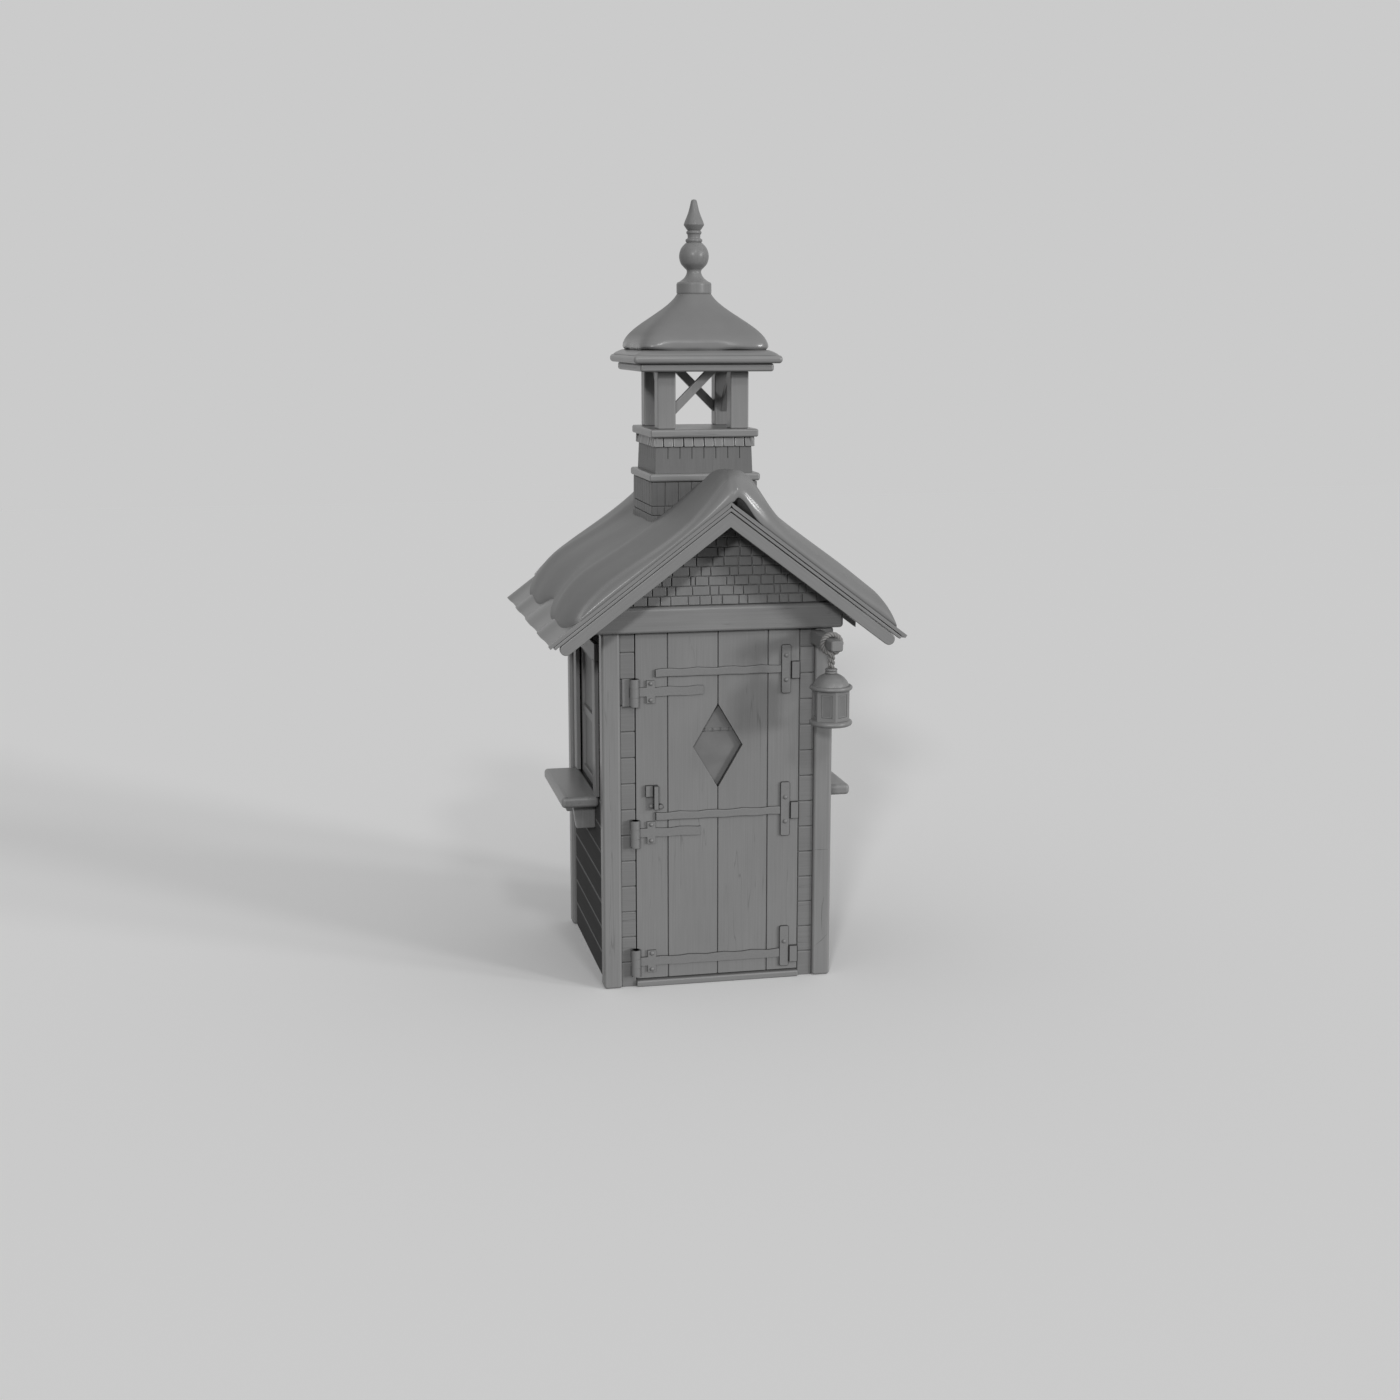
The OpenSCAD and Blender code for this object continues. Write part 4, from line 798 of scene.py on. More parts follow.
def packed_snow(name, tone):
    """Settled snow: soft, faintly mottled, with glazed edges that glint."""
    patch, crust = 0.35, 0.05
    material, tree = new_material(name)
    place = add_node(tree, "ShaderNodeTexCoord", give="Object")
    broad = add_node(tree, "ShaderNodeTexNoise", {"Vector": place, "Scale": 1 / patch, "Detail": 4.0})
    mid = add_node(tree, "ShaderNodeTexNoise", {"Vector": place, "Scale": 1 / crust, "Detail": 0.0})
    level = add_node(tree, "ShaderNodeMapRange", {0: broad, 1: 0.3, 2: 0.7, 3: 0.95, 4: 1.04})
    level = add_node(tree, "ShaderNodeMath", {0: mid, 1: 0.05, 2: level}, operation="MULTIPLY_ADD")
    glazed = add_node(tree, "ShaderNodeAttribute", attribute_name="wear_painted_light_and_glaze", give="Fac")
    shine = add_node(tree, "ShaderNodeMapRange", {0: glazed, 3: 0.14, 4: 0.6})
    gloss = add_node(tree, "ShaderNodeMapRange", {0: glazed, 3: 0.42, 4: 0.22})
    return coat(material, tone, level, {"Roughness": gloss, "Specular IOR Level": shine})


def glaze(work, off_edge):
    """Mark faces as glazed, by a function of a face's middle that is 0 at the edge and 1 inside."""
    for face in work.faces:
        mark(work, [face], "wear_painted_light_and_glaze", min(1.0, max(0.0, 1 - off_edge(face.calc_center_median()))))


def roll(distance, width):
    """Quarter-round from nothing at an edge to the full depth."""
    share = np.clip(distance / width, 0, 1)
    return np.sqrt(1 - (1 - share) ** 2)


tier_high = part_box("cupola_lower_tier")[1]
foot = tier_high.x + SNOW_SEAT
snow_half = roof_half_d - SNOW_SEAT
angle = np.linspace(0, math.pi, SNOW_FILES)
y = -snow_half * np.cos(angle)
for edge in (-foot, foot):
    y[np.argmin(np.abs(y - edge))] = edge
y = y[:, None]
end_left = roof_half_w - BARE_LEFT - FURROW_NOTCH * bell(y - FURROW_AT, FURROW_WIDE) \
    - CORNER_NOTCH * bell(roof_half_d - np.abs(y), CORNER_WIDE)
end_right = roof_half_w - BARE_RIGHT + 0 * y
sweep = np.sin(np.linspace(0, math.pi / 2, SNOW_STEPS))[None, :]
middle = np.linspace(-foot, foot, SNOW_FOOT_STEPS)[None, 1:-1] + 0 * y
x = np.concatenate([-(foot + (end_left - foot) * sweep)[:, ::-1], middle,
                    foot + (end_right - foot) * sweep], axis=1)
out = np.abs(x)
y = y + 0 * x
ahead = np.maximum(0, np.abs(y) - tier_high.y)
lull = LULL_SHARE * bell(ahead, LULL_REACH) * bell(x, tier_high.x)
off_ridge = 1 - bell(x, DRIFT_WIDE)
saddle = THIN_SHARE * bell(out - tier_high.x, THIN_REACH) * off_ridge
furrow = 1 - FURROW_SHARE * bell(y - FURROW_AT, FURROW_WIDE) * (1 - bell(out, 2 * tier_high.x))
left = (SNOW_DEEP + LOBE_DEEP * bell(out - LOBE_AT, LOBE_WIDE)) * furrow * (1 - saddle)
right = SNOW_DEEP + BANK_DEEP * off_ridge
deep = (np.where(x < 0, left, right) + DRIFT_DEEP * bell(x - DRIFT_AT, DRIFT_WIDE)) * (1 - lull)
off_arch = x - HOLLOW_AT
arch = np.where(off_arch < 0, np.exp(-(off_arch / HOLLOW_STEEP) ** 4), bell(off_arch, HOLLOW_WIDE))
hollow = HOLLOW_DEEP * arch * np.exp(-(y + roof_half_d) / HOLLOW_LONG)
base = ridge_z - out * slope + SNOW_SEAT + hollow - sheet_sink(y, out / roof_half_w) / cosine
ends = np.where(x < 0, end_left, end_right)
swell = SWELL * (np.sin(9.1 * x + 5.3 * y) + np.sin(6.7 * y - 11.9 * x + 1.3))
verge_roll = VERGE_ROLL + (DRIFT_ROLL - VERGE_ROLL) * bell(x - DRIFT_AT / 2, DRIFT_ROLL_WIDE) \
    + (CORNER_ROLL - VERGE_ROLL) * bell(x - roof_half_w, CORNER_ROLL_WIDE)
eave_roll = np.where(x < 0, EAVE_ROLL_LEFT, EAVE_ROLL_RIGHT)
round_off = roll(ends - out, eave_roll) * roll(snow_half - np.abs(y), verge_roll)
crest = slope * (out - np.hypot(out, RIDGE_SOFT))
height = base + SNOW_LIP + (deep - hollow + swell + crest) * round_off
keep = (np.abs(x[:-1, :-1] + x[1:, 1:]) / 2 > foot) | (np.abs(y[:-1, :-1] + y[1:, 1:]) / 2 > foot)
work = shell(np.stack([x, y, height], axis=2), np.stack([x, y, base], axis=2), keep)
glaze(work, lambda at: max(roof_half_d - abs(at.y) - GLAZE_FULL, at.x - GLAZE_END) / GLAZE_FADE)
roof_snow = packed_snow("packed snow", SNOW_GREY)
settle("roof_snow", work, roof_snow, ["left_roof_snow", "right_roof_snow"], crease=120)


# Side windows: pine casing boards nailed on the siding, two painted sashes set in each opening
# and one clouded pane in each sash.
CASING_ROUND = 0.004
SASH_ROUND = 0.003
SASH_SPREAD = 0.4
PANE_ROUND = 0.001
WINDOW_SHINE = 0.08
PANE_GREY = "#727272"


def clouded_glass(name, tone):
    """Cast glass gone blind with frost: smooth, faintly cloudy, a soft gloss."""
    cloud, ripple = 0.12, 0.02
    material, tree = new_material(name)
    place = add_node(tree, "ShaderNodeTexCoord", give="Object")
    haze = add_node(tree, "ShaderNodeTexNoise", {"Vector": place, "Scale": 1 / cloud, "Detail": 5.0})
    level = add_node(tree, "ShaderNodeMapRange", {0: haze, 1: 0.3, 2: 0.7, 3: 0.86, 4: 1.1})
    wave = add_node(tree, "ShaderNodeTexNoise", {"Vector": place, "Scale": 1 / ripple, "Detail": 1.0})
    relief = add_node(tree, "ShaderNodeBump", {"Height": wave, "Strength": 0.08, "Distance": 0.002})
    gloss = add_node(tree, "ShaderNodeMapRange", {0: haze, 3: 0.4, 4: 0.6})
    return coat(material, tone, level, {"Roughness": gloss, "Normal": relief})


frosted_glass = clouded_glass("clouded window glass", PANE_GREY)
window_pine = painted_pine("painted window boards, upright grain", FRAME_GREY, "z", shine=WINDOW_SHINE)
for node in ("left_window_frame", "right_window_frame"):
    work = blank()
    for low, high in solids_of(node):
        outside = max(abs(low.x), abs(high.x)) > abs(wall_low.x) + 1e-4
        add_block(work, low, high, CASING_ROUND if outside else SASH_ROUND,
                  draw.uniform(-SASH_SPREAD, SASH_SPREAD))
    settle(node + "_dressed", work, window_pine, [node])
work = blocks_of("side_window_panes", PANE_ROUND)
settle("side_window_panes_clouded", work, frosted_glass, ["side_window_panes"])


# Sale shelves: one thick pine board under each window with well rounded edges, on two tapered
# brackets that are spiked to the siding.
SHELF_ROUND = 0.021
BRACKET_ROUND = 0.006
for node in ("left_shelf", "right_shelf"):
    dress(node, lengthwise_pine, SHELF_ROUND, segments=5)
eased("shelf_brackets", upright_pine, BRACKET_ROUND)


# Cupola base: a pine box astride the ridge, faced with upright planks over two low courses of
# blocks, and closed by a rounded moulding.
PLANKS = 8
PLANK_GAP = 0.003
PLANK_THICK = 0.01
PLANK_ROUND = 0.0035
PLANK_FOOT = 2.598
PLANK_LIFT = 0.0006
PLANK_SEED = 20
LOW_RISE = 0.049
LOW_COURSES = 4
LOW_WANDER = 0.004
LOW_PROUD = 0.001
MOULDING_ROUND = 0.014
FLARE = 0.02
CUPOLA_GREY = "#727272"
CUPOLA_SHINE = 0.03
cupola_pine = painted_pine("painted cupola boards, upright grain", CUPOLA_GREY, "z", shine=CUPOLA_SHINE)


def drawn_in(node, nearest, half):
    """Copy of a CAD tier whose outer faces, from the nearest one out, are drawn in to a half-width."""
    work = merged_copy(node)
    for vert in work.verts:
        for axis in (0, 1):
            if abs(vert.co[axis]) > nearest:
                vert.co[axis] = math.copysign(half, vert.co[axis])
    weld(work)
    return work


def faced_box(node, half, rows_of_blocks, material):
    """Box tier: a core drawn in behind its facing, with rows of blocks on all four sides."""
    work = drawn_in(node, half - PLANK_THICK / 2, half - PLANK_THICK)
    for turn in range(4):
        reach = half - PLANK_THICK * (turn % 2)
        wide = 2 * reach / PLANKS
        for seed, (foot_z, rise, rows, wander, proud) in enumerate(rows_of_blocks):
            block = cut_block(wide, PLANK_THICK + proud, rise - PLANK_GAP, 0.0, PLANK_ROUND)
            facing = grow(node, block, rows_tree, {
                "Columns": PLANKS, "Rows": rows, "Pitch": wide, "Rise": rise, "Gap": PLANK_GAP,
                "Wander": wander, "Lift": PLANK_LIFT, "Block": wide, "Seed": PLANK_SEED + seed + turn,
                "Material": material})
            facing.transform(Matrix.Rotation(turn * math.pi / 2, 4, "Z")
                             @ Matrix.Translation((-reach, -half + PLANK_THICK, foot_z)))
            work.from_mesh(facing)
    return work


def flare(work, foot_z, head_z):
    """Let the sides of a tier swing out a little towards its foot."""
    for vert in work.verts:
        share = min(1.0, max(0.0, (head_z - vert.co.z) / (head_z - foot_z)))
        for axis in (0, 1):
            vert.co[axis] *= 1 + FLARE * share ** 2


low_foot = PLANK_FOOT - LOW_COURSES * LOW_RISE
work = faced_box("cupola_lower_tier", tier_high.x, [
    (PLANK_FOOT, tier_high.z - PLANK_FOOT, 1, 0.0, 0.0),
    (low_foot, LOW_RISE, LOW_COURSES, LOW_WANDER, LOW_PROUD)], cupola_pine)
flare(work, low_foot, tier_high.z)
settle("cupola_base_planks", work, cupola_pine, ["cupola_lower_tier"])
work = blocks_of("cupola_lower_band", MOULDING_ROUND, segments=5)
settle("cupola_band", work, crosswise_pine, ["cupola_lower_band"])


# Upper tier of the cupola: one broad board on each side, slit from its upper edge, under a single
# course of rounded shingles and a projecting ledge.
SLITS = 7
SLIT_WIDE = 0.004
SLIT_LONG = 0.064
SLIT_ROUND = 0.0012
COURSE_SHINGLES = 10
COURSE_TALL = 0.052
COURSE_PROUD = 0.015
COURSE_TAPER = 0.011
COURSE_TWIST = math.radians(7)
COURSE_EDGE = 0.006
COURSE_JOINT = 0.0035
COURSE_WANDER = 0.004
COURSE_LIFT = 0.001
COURSE_SEED = 31
LEDGE_ROUND = 0.8 * MOULDING_ROUND
tier_low, tier_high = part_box("cupola_upper_tier")
course_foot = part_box("cupola_ledge")[0].z - COURSE_TALL
course_half = tier_high.x
tier_half = course_half - COURSE_PROUD
work = drawn_in("cupola_upper_tier", tier_half - PLANK_THICK / 2, tier_half - PLANK_THICK)
shingle_course = blank()
for turn in range(4):
    reach = tier_half - PLANK_THICK * (turn % 2)
    outline = [(-reach, tier_low.z), (reach, tier_low.z), (reach, course_foot)]
    for k in reversed(range(SLITS)):
        at = tier_half * (2 * (k + 1) / (SLITS + 1) - 1)
        outline += [(at + SLIT_WIDE / 2, course_foot), (at + SLIT_WIDE / 2, course_foot - SLIT_LONG),
                    (at - SLIT_WIDE / 2, course_foot - SLIT_LONG), (at - SLIT_WIDE / 2, course_foot)]
    outline.append((-reach, course_foot))
    board = slab(outline, -tier_half, -tier_half + PLANK_THICK)
    front = [e for e in sharp_edges(board) if all(v.co.y < -tier_half + 1e-5 for v in e.verts)]
    ease(board, front, SLIT_ROUND, 2)
    board.transform(Matrix.Rotation(turn * math.pi / 2, 4, "Z"))
    work.from_mesh(as_mesh(board))
    wide = 2 * course_half / COURSE_SHINGLES
    block = cut_block(wide, COURSE_PROUD + PLANK_THICK, COURSE_TALL, COURSE_TAPER, COURSE_EDGE)
    course = grow("cupola_course", block, rows_tree, {
        "Columns": COURSE_SHINGLES, "Rows": 1, "Pitch": wide, "Gap": COURSE_JOINT,
        "Wander": COURSE_WANDER, "Lift": COURSE_LIFT, "Twist": COURSE_TWIST, "Block": wide,
        "Seed": COURSE_SEED + turn, "Material": shingle_pine})
    course.transform(Matrix.Rotation(turn * math.pi / 2, 4, "Z")
                     @ Matrix.Translation((-course_half, -tier_half + PLANK_THICK, course_foot)))
    shingle_course.from_mesh(course)
flare(work, tier_low.z, course_foot)
settle("cupola_upper_boards", work, cupola_pine, ["cupola_upper_tier"])
settle("cupola_course", shingle_course, shingle_pine)
dress("cupola_ledge", crosswise_pine, LEDGE_ROUND, segments=5)


# Open stage of the cupola: four square pine posts on the ledge, a slanting brace between each
# pair, and a rounded plate across their heads.
BELFRY_ROUND = 0.008
BRACE_ROUND = 0.004
dress("cupola_posts", upright_pine, BELFRY_ROUND, POST_SPREAD)
eased("cupola_braces", upright_pine, BRACE_ROUND)
dress("cupola_plate", crosswise_pine, MOULDING_ROUND, segments=5)


# Cupola roof: a half-round edge moulding, a cove that draws in above it, and over that an ogee
# cap of snow, square at the shoulder and round under the finial, with a wavy lower edge.
CROWN_ROUND = 0.019
COVE_RISE = 0.027
COVE_SET = 0.012
COVE_IN = 0.044
COVE_STEPS = 8
COVE_BEND = 1.5
COVE_SQUARE = 24
CAP_SHOULDER, CAP_END, CAP_TIP = 0.14, 1.12, 0.85
CAP_LEVELS = 60
CAP_POINTS = 240
CAP_WAVE, CAP_WAVE_FADE = 0.008, 0.1
CAP_TUCK, CAP_TUCK_FADE = 0.012, 0.03
CAP_UNDER, CAP_UNDER_SHARE = 0.004, 0.9
CAP_SQUARE, CAP_ROUND, CAP_EASE = 9.0, 2.6, 1.2


def loft(work, rings):
    """Add a closed skin over a stack of rings of points."""
    levels = [[work.verts.new(p) for p in ring] for ring in rings]
    for a, b in zip(levels, levels[1:]):
        for k in range(len(a)):
            j = (k + 1) % len(a)
            work.faces.new((a[k], a[j], b[j], b[k]))
    work.faces.new(list(reversed(levels[0])))
    work.faces.new(levels[-1])


def square_ring(half, squareness, z, count):
    """Ring of a square with rounded corners: 2 is a circle, more is squarer."""
    turn = np.linspace(0, 2 * math.pi, count, endpoint=False)
    power = np.abs(np.cos(turn)) ** squareness + np.abs(np.sin(turn)) ** squareness
    radius = half / power ** (1 / squareness)
    return np.stack([radius * np.cos(turn), radius * np.sin(turn), z + 0 * turn], axis=1)


roof_low, roof_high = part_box("cupola_roof")
crown_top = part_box("cupola_snow")[0].z - COVE_RISE
crown_half = roof_high.x
finial_low, finial_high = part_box("finial")
work = blank()
add_block(work, roof_low, (roof_high.x, roof_high.y, crown_top), CROWN_ROUND, segments=6)
cove = []
for k in range(COVE_STEPS + 1):
    t = k / COVE_STEPS
    half = crown_half - COVE_SET - COVE_IN * t ** COVE_BEND
    cove.append(square_ring(half, COVE_SQUARE, crown_top + COVE_RISE * t, CAP_POINTS))
loft(work, cove)
settle("cupola_crown", work, crosswise_pine, ["cupola_roof"])

cap_foot = crown_top + COVE_RISE
cap_tall = finial_low.z - crown_top
shoulder_half = crown_half - COVE_SET - COVE_IN
tip_half = CAP_TIP * finial_high.x
turn = np.linspace(0, 2 * math.pi, CAP_POINTS, endpoint=False)
edge_wave = CAP_WAVE * (np.sin(5 * turn + 0.6) + 0.7 * np.sin(11 * turn + 2.0)) / 2
rings = [square_ring(CAP_UNDER_SHARE * shoulder_half, CAP_SQUARE, cap_foot - CAP_UNDER, CAP_POINTS)]
for k in range(CAP_LEVELS + 1):
    v = k / CAP_LEVELS
    z = cap_foot + (finial_low.z - cap_foot) * v
    u = (z - crown_top) / cap_tall
    rise = max(0.0, (u - CAP_SHOULDER) / (CAP_END - CAP_SHOULDER))
    half = tip_half + (shoulder_half + CAP_WAVE - tip_half) * (1 + math.cos(math.pi * rise)) / 2
    squareness = CAP_ROUND + (CAP_SQUARE - CAP_ROUND) * (1 - v) ** CAP_EASE
    ring = square_ring(half - CAP_TUCK * bell(v, CAP_TUCK_FADE), squareness, z, CAP_POINTS)
    stray = edge_wave * bell(v, CAP_WAVE_FADE)
    ring[:, 2] += stray
    ring[:, :2] *= 1 + (stray / half)[:, None]
    rings.append(ring)
work = blank()
loft(work, rings)
glaze(work, lambda at: (at.z - cap_foot - GLAZE_FULL / 2) / GLAZE_FADE)
settle("cupola_snow_cap", work, roof_snow, ["cupola_snow"], crease=70)


# Finial: turned from one piece of pine and painted, on a round foot: flare, ball, two rings and
# a spike that swells over its neck.
FINIAL_POINTS = 72
FINIAL_GREY = "#808080"
FINIAL_SHINE = 0.25


def lathe(work, profile, centre, count):
    """Turn a profile of radius and height pairs about an upright axis."""
    rings = []
    for radius, z in profile:
        turn = np.linspace(0, 2 * math.pi, count, endpoint=False)
        rings.append(np.stack([centre[0] + radius * np.cos(turn), centre[1] + radius * np.sin(turn),
                               z + 0 * turn], axis=1))
    loft(work, rings)


def smooth_profile(points, steps=8):
    """Curve through profile points. A point given twice is a corner."""
    result = []
    for i in range(len(points) - 1):
        a, b = Vector(points[i]), Vector(points[i + 1])
        before = Vector(points[i - 1]) if i else a
        after = Vector(points[i + 2]) if i + 2 < len(points) else b
        if (b - a).length < 1e-7:
            continue
        start = (b - before) / 2 if (a - before).length > 1e-7 else (b - a) / 2
        end = (after - a) / 2 if (after - b).length > 1e-7 else (b - a) / 2
        for k in range(steps):
            t = k / steps
            result.append((2 * t ** 3 - 3 * t ** 2 + 1) * a + (t ** 3 - 2 * t ** 2 + t) * start
                          + (3 * t ** 2 - 2 * t ** 3) * b + (t ** 3 - t ** 2) * end)
    result.append(Vector(points[-1]))
    return result


foot_r = finial_high.x
tall = finial_high.z - finial_low.z
finial_shares = [
    (0.97, 0.0), (0.97, 0.0), (1.0, 0.012), (1.0, 0.012), (1.0, 0.105), (1.0, 0.105), (0.95, 0.122),
    (0.95, 0.122), (0.8, 0.135), (0.56, 0.172), (0.43, 0.215), (0.42, 0.25), (0.55, 0.277), (0.55, 0.277),
    (0.76, 0.325), (0.85, 0.4), (0.76, 0.475), (0.56, 0.525), (0.42, 0.547), (0.42, 0.547), (0.47, 0.555),
    (0.47, 0.578), (0.37, 0.592), (0.36, 0.61), (0.38, 0.632), (0.43, 0.643), (0.43, 0.66), (0.36, 0.672),
    (0.36, 0.672), (0.44, 0.69), (0.57, 0.728), (0.57, 0.742), (0.5, 0.78), (0.33, 0.86), (0.23, 0.93),
    (0.16, 0.985), (0.08, 0.999), (0.0005, 1.0)]
work = blank()
lathe(work, smooth_profile([(foot_r * r, finial_low.z + tall * h) for r, h in finial_shares], 5),
      (0, 0), FINIAL_POINTS)
turned_pine = painted_pine("painted turned pine", FINIAL_GREY, "z", shine=FINIAL_SHINE)
settle("finial_turned", work, turned_pine, ["finial"], crease=40)


# Door: four broad upright pine boards, edge to edge with open joints over a thin core, cut
# through by a diamond. It hangs on the three strap hinges.
DOOR_JOINTS = (-0.307, 0.0, 0.307)
DOOR_JOINT = 0.006
DOOR_ROUND = 0.003
DOOR_CORE_IN = 0.014
DOOR_GREY = "#808080"
DOOR_SPREAD = 0.4
CUT_SHADE_TONE = -4.0
CORE_TONE = -0.5
CORE_SPLIT = 0.000001
CUT_SLANT = 0.3
door_low, door_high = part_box("door_leaf")
pane_low, pane_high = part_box("door_pane")
diamond_z = (pane_low.z + pane_high.z) / 2
diamond_half_w = pane_high.x
diamond_half_h = pane_high.z - diamond_z
door_wide = door_high.x - door_low.x
door_pine = painted_pine("painted door boards, upright grain", DOOR_GREY, "z")


def door_board(left, right, front, back, rounding, tone):
    """Board of the door from one joint to the next, with its share of the diamond cut away."""
    outline = [(left, door_low.z), (right, door_low.z)]
    for at, other in ((right, left), (left, right)):
        cut = diamond_half_h * (1 - abs(at) / diamond_half_w)
        tip = math.copysign(diamond_half_w, other)
        if cut > 0 and abs(other) > diamond_half_w:
            notch = [(at, diamond_z - cut), (tip, diamond_z), (at, diamond_z + cut)]
            outline += notch if at == right else notch[::-1]
        if at == right:
            outline += [(right, door_high.z), (left, door_high.z)]
    work = slab(outline, front, back)
    if rounding:
        ease(work, sharp_edges(work, 20), rounding, 2)
    for face in work.faces:
        # The slanting cuts of the diamond are painted darker, as painted shade in the reveal
        slanting = min(abs(face.normal.x), abs(face.normal.z)) > CUT_SLANT
        mark(work, [face], "board", CUT_SHADE_TONE if slanting else tone)
    return as_mesh(work)


edges = [door_low.x] + [share * door_wide for share in DOOR_JOINTS] + [door_high.x]
work = blank()
for i, (a, b) in enumerate(zip(edges, edges[1:])):
    left = a + (DOOR_JOINT / 2 if i else 0)
    right = b - (DOOR_JOINT / 2 if i < len(edges) - 2 else 0)
    tone = draw.uniform(-DOOR_SPREAD, DOOR_SPREAD)
    work.from_mesh(door_board(left, right, door_low.y, door_high.y, DOOR_ROUND, tone))
for left, right in ((door_low.x + DOOR_CORE_IN, -CORE_SPLIT), (CORE_SPLIT, door_high.x - DOOR_CORE_IN)):
    work.from_mesh(door_board(left, right, door_low.y + DOOR_CORE_IN, door_high.y - DOOR_CORE_IN,
                              0, CORE_TONE))
settle("door_boards", work, door_pine, ["door_leaf"], "door")


# Diamond pane: one clouded pane set back in the door, with a slim pine glazing bar across it held
# by four sprigs.
GLAZING_BAR_Z = 1.413
GLAZING_BAR = 0.014
GLAZING_BAR_THICK = 0.007
GLAZING_BAR_ROUND = 0.002
GLAZING_BAR_SEAT = 0.001
# The glazing bar is painted a little darker and the sprigs much darker, as painted shade at the set-back
# pane
BAR_SHADE_TONE, SPRIG_SHADE_TONE = -1.5, -4.0
PANE_BACK = 0.009
SPRIGS = 4
SPRIG_WIDE, SPRIG_TALL, SPRIG_PROUD, SPRIG_ROUND = 0.008, 0.018, 0.003, 0.0015
work = merged_copy("door_pane")
pane_low.y += PANE_BACK
work.transform(Matrix.Translation((0, PANE_BACK, 0)))
ease(work, sharp_edges(work), PANE_ROUND, 1)
settle("door_pane_clouded", work, frosted_glass, ["door_pane"], "door")
bar_half = diamond_half_w * (1 - abs(GLAZING_BAR_Z - diamond_z) / diamond_half_h)
work = blank()
bar_front = pane_low.y - GLAZING_BAR_THICK
add_block(work, (-bar_half, bar_front, GLAZING_BAR_Z - GLAZING_BAR / 2),
          (bar_half, pane_low.y + GLAZING_BAR_SEAT, GLAZING_BAR_Z + GLAZING_BAR / 2),
          GLAZING_BAR_ROUND, BAR_SHADE_TONE)
for k in range(SPRIGS):
    at = bar_half * (2 * (k + 0.5) / SPRIGS - 1)
    add_block(work, (at - SPRIG_WIDE / 2, bar_front - SPRIG_PROUD, GLAZING_BAR_Z - SPRIG_TALL / 2),
              (at + SPRIG_WIDE / 2, pane_low.y, GLAZING_BAR_Z + SPRIG_TALL / 2), SPRIG_ROUND, SPRIG_SHADE_TONE)
settle("door_glazing_bar", work, door_pine, (), "door")


# Door irons: forged straps, leaves, bars, lock plates and latch, painted grey with the door. They
# keep the uneven faces of hammer work and are held by round-headed bolts. Their edges and sides
# are painted dark as a shade outline.
IRON_GREY = "#7c7c7c"
IRON_ROUND = 0.003
IRON_THICK = 0.01
IRON_PROUD = 0.004
IRON_EDGE_SHADE = -0.8
IRON_SIDE = 0.5
FORGE_STEP = 0.05
FORGE_START = -0.013
FORGE_CUTS = range(-8, 10)
FORGE_WAVE = 0.0022
BOLT_RADIUS = 0.0125
BOLT_PROUD = 0.011
BARREL_RADIUS = 0.0254
BARREL_ROUND = 0.008
BARREL_GAP = 0.0006
BARREL_POINTS = 40
BARREL_CORE = 0.001
CROSS_X, CROSS_REACH = -0.37, 0.045
LATCH_BOLT_Z = 1.015
LOCK_X = 0.375
LOCK_BOLTS_Z = (1.815, 1.681, 1.029, 0.893, 0.207)


def forged_iron(name, tone, edge):
    """Forged iron under paint: shallow hammer facets, satin gloss; a negative edge paints the edges dark as
    painted shade, a positive one lightens them as wear.
    """
    facet, pit = 0.018, 0.004
    material, tree = new_material(name)
    place = add_node(tree, "ShaderNodeTexCoord", give="Object")
    dents = add_node(tree, "ShaderNodeTexVoronoi", {"Vector": place, "Scale": 1 / facet, "Smoothness": 1.0},
                     feature="SMOOTH_F1")
    pits = add_node(tree, "ShaderNodeTexNoise", {"Vector": place, "Scale": 1 / pit, "Detail": 3.0})
    wear_painted_light_and_glaze = add_node(tree, "ShaderNodeAttribute", attribute_name="wear_painted_light_and_glaze", give="Fac")
    level = add_node(tree, "ShaderNodeMapRange", {0: pits, 1: 0.3, 2: 0.7, 3: 0.92, 4: 1.06})
    level = add_node(tree, "ShaderNodeMath", {0: wear_painted_light_and_glaze, 1: edge, 2: level}, operation="MULTIPLY_ADD")
    height = add_node(tree, "ShaderNodeMath", {0: pits, 1: 0.15, 2: dents}, operation="MULTIPLY_ADD")
    relief = add_node(tree, "ShaderNodeBump", {"Height": height, "Strength": 0.22, "Distance": 0.002})
    gloss = add_node(tree, "ShaderNodeMapRange", {0: pits, 1: 0.3, 2: 0.7, 3: 0.3, 4: 0.46})
    return coat(material, tone, level, {"Roughness": gloss, "Normal": relief})


def hand_forged(work):
    """Let the long edges of straps and bars wander a little, as drawn out by hand."""
    for k in FORGE_CUTS:
        bmesh.ops.bisect_plane(work, geom=work.verts[:] + work.edges[:] + work.faces[:], dist=1e-6,
                               plane_co=(k * FORGE_STEP + FORGE_START, 0, 0), plane_no=(1, 0, 0))
    for vert in work.verts:
        x, y, z = vert.co
        if x > door_low.x + 2 * FORGE_STEP:
            vert.co.z += FORGE_WAVE * (math.sin(37 * x + 3.1 * z) + 0.6 * math.sin(91 * x + 60 * z))


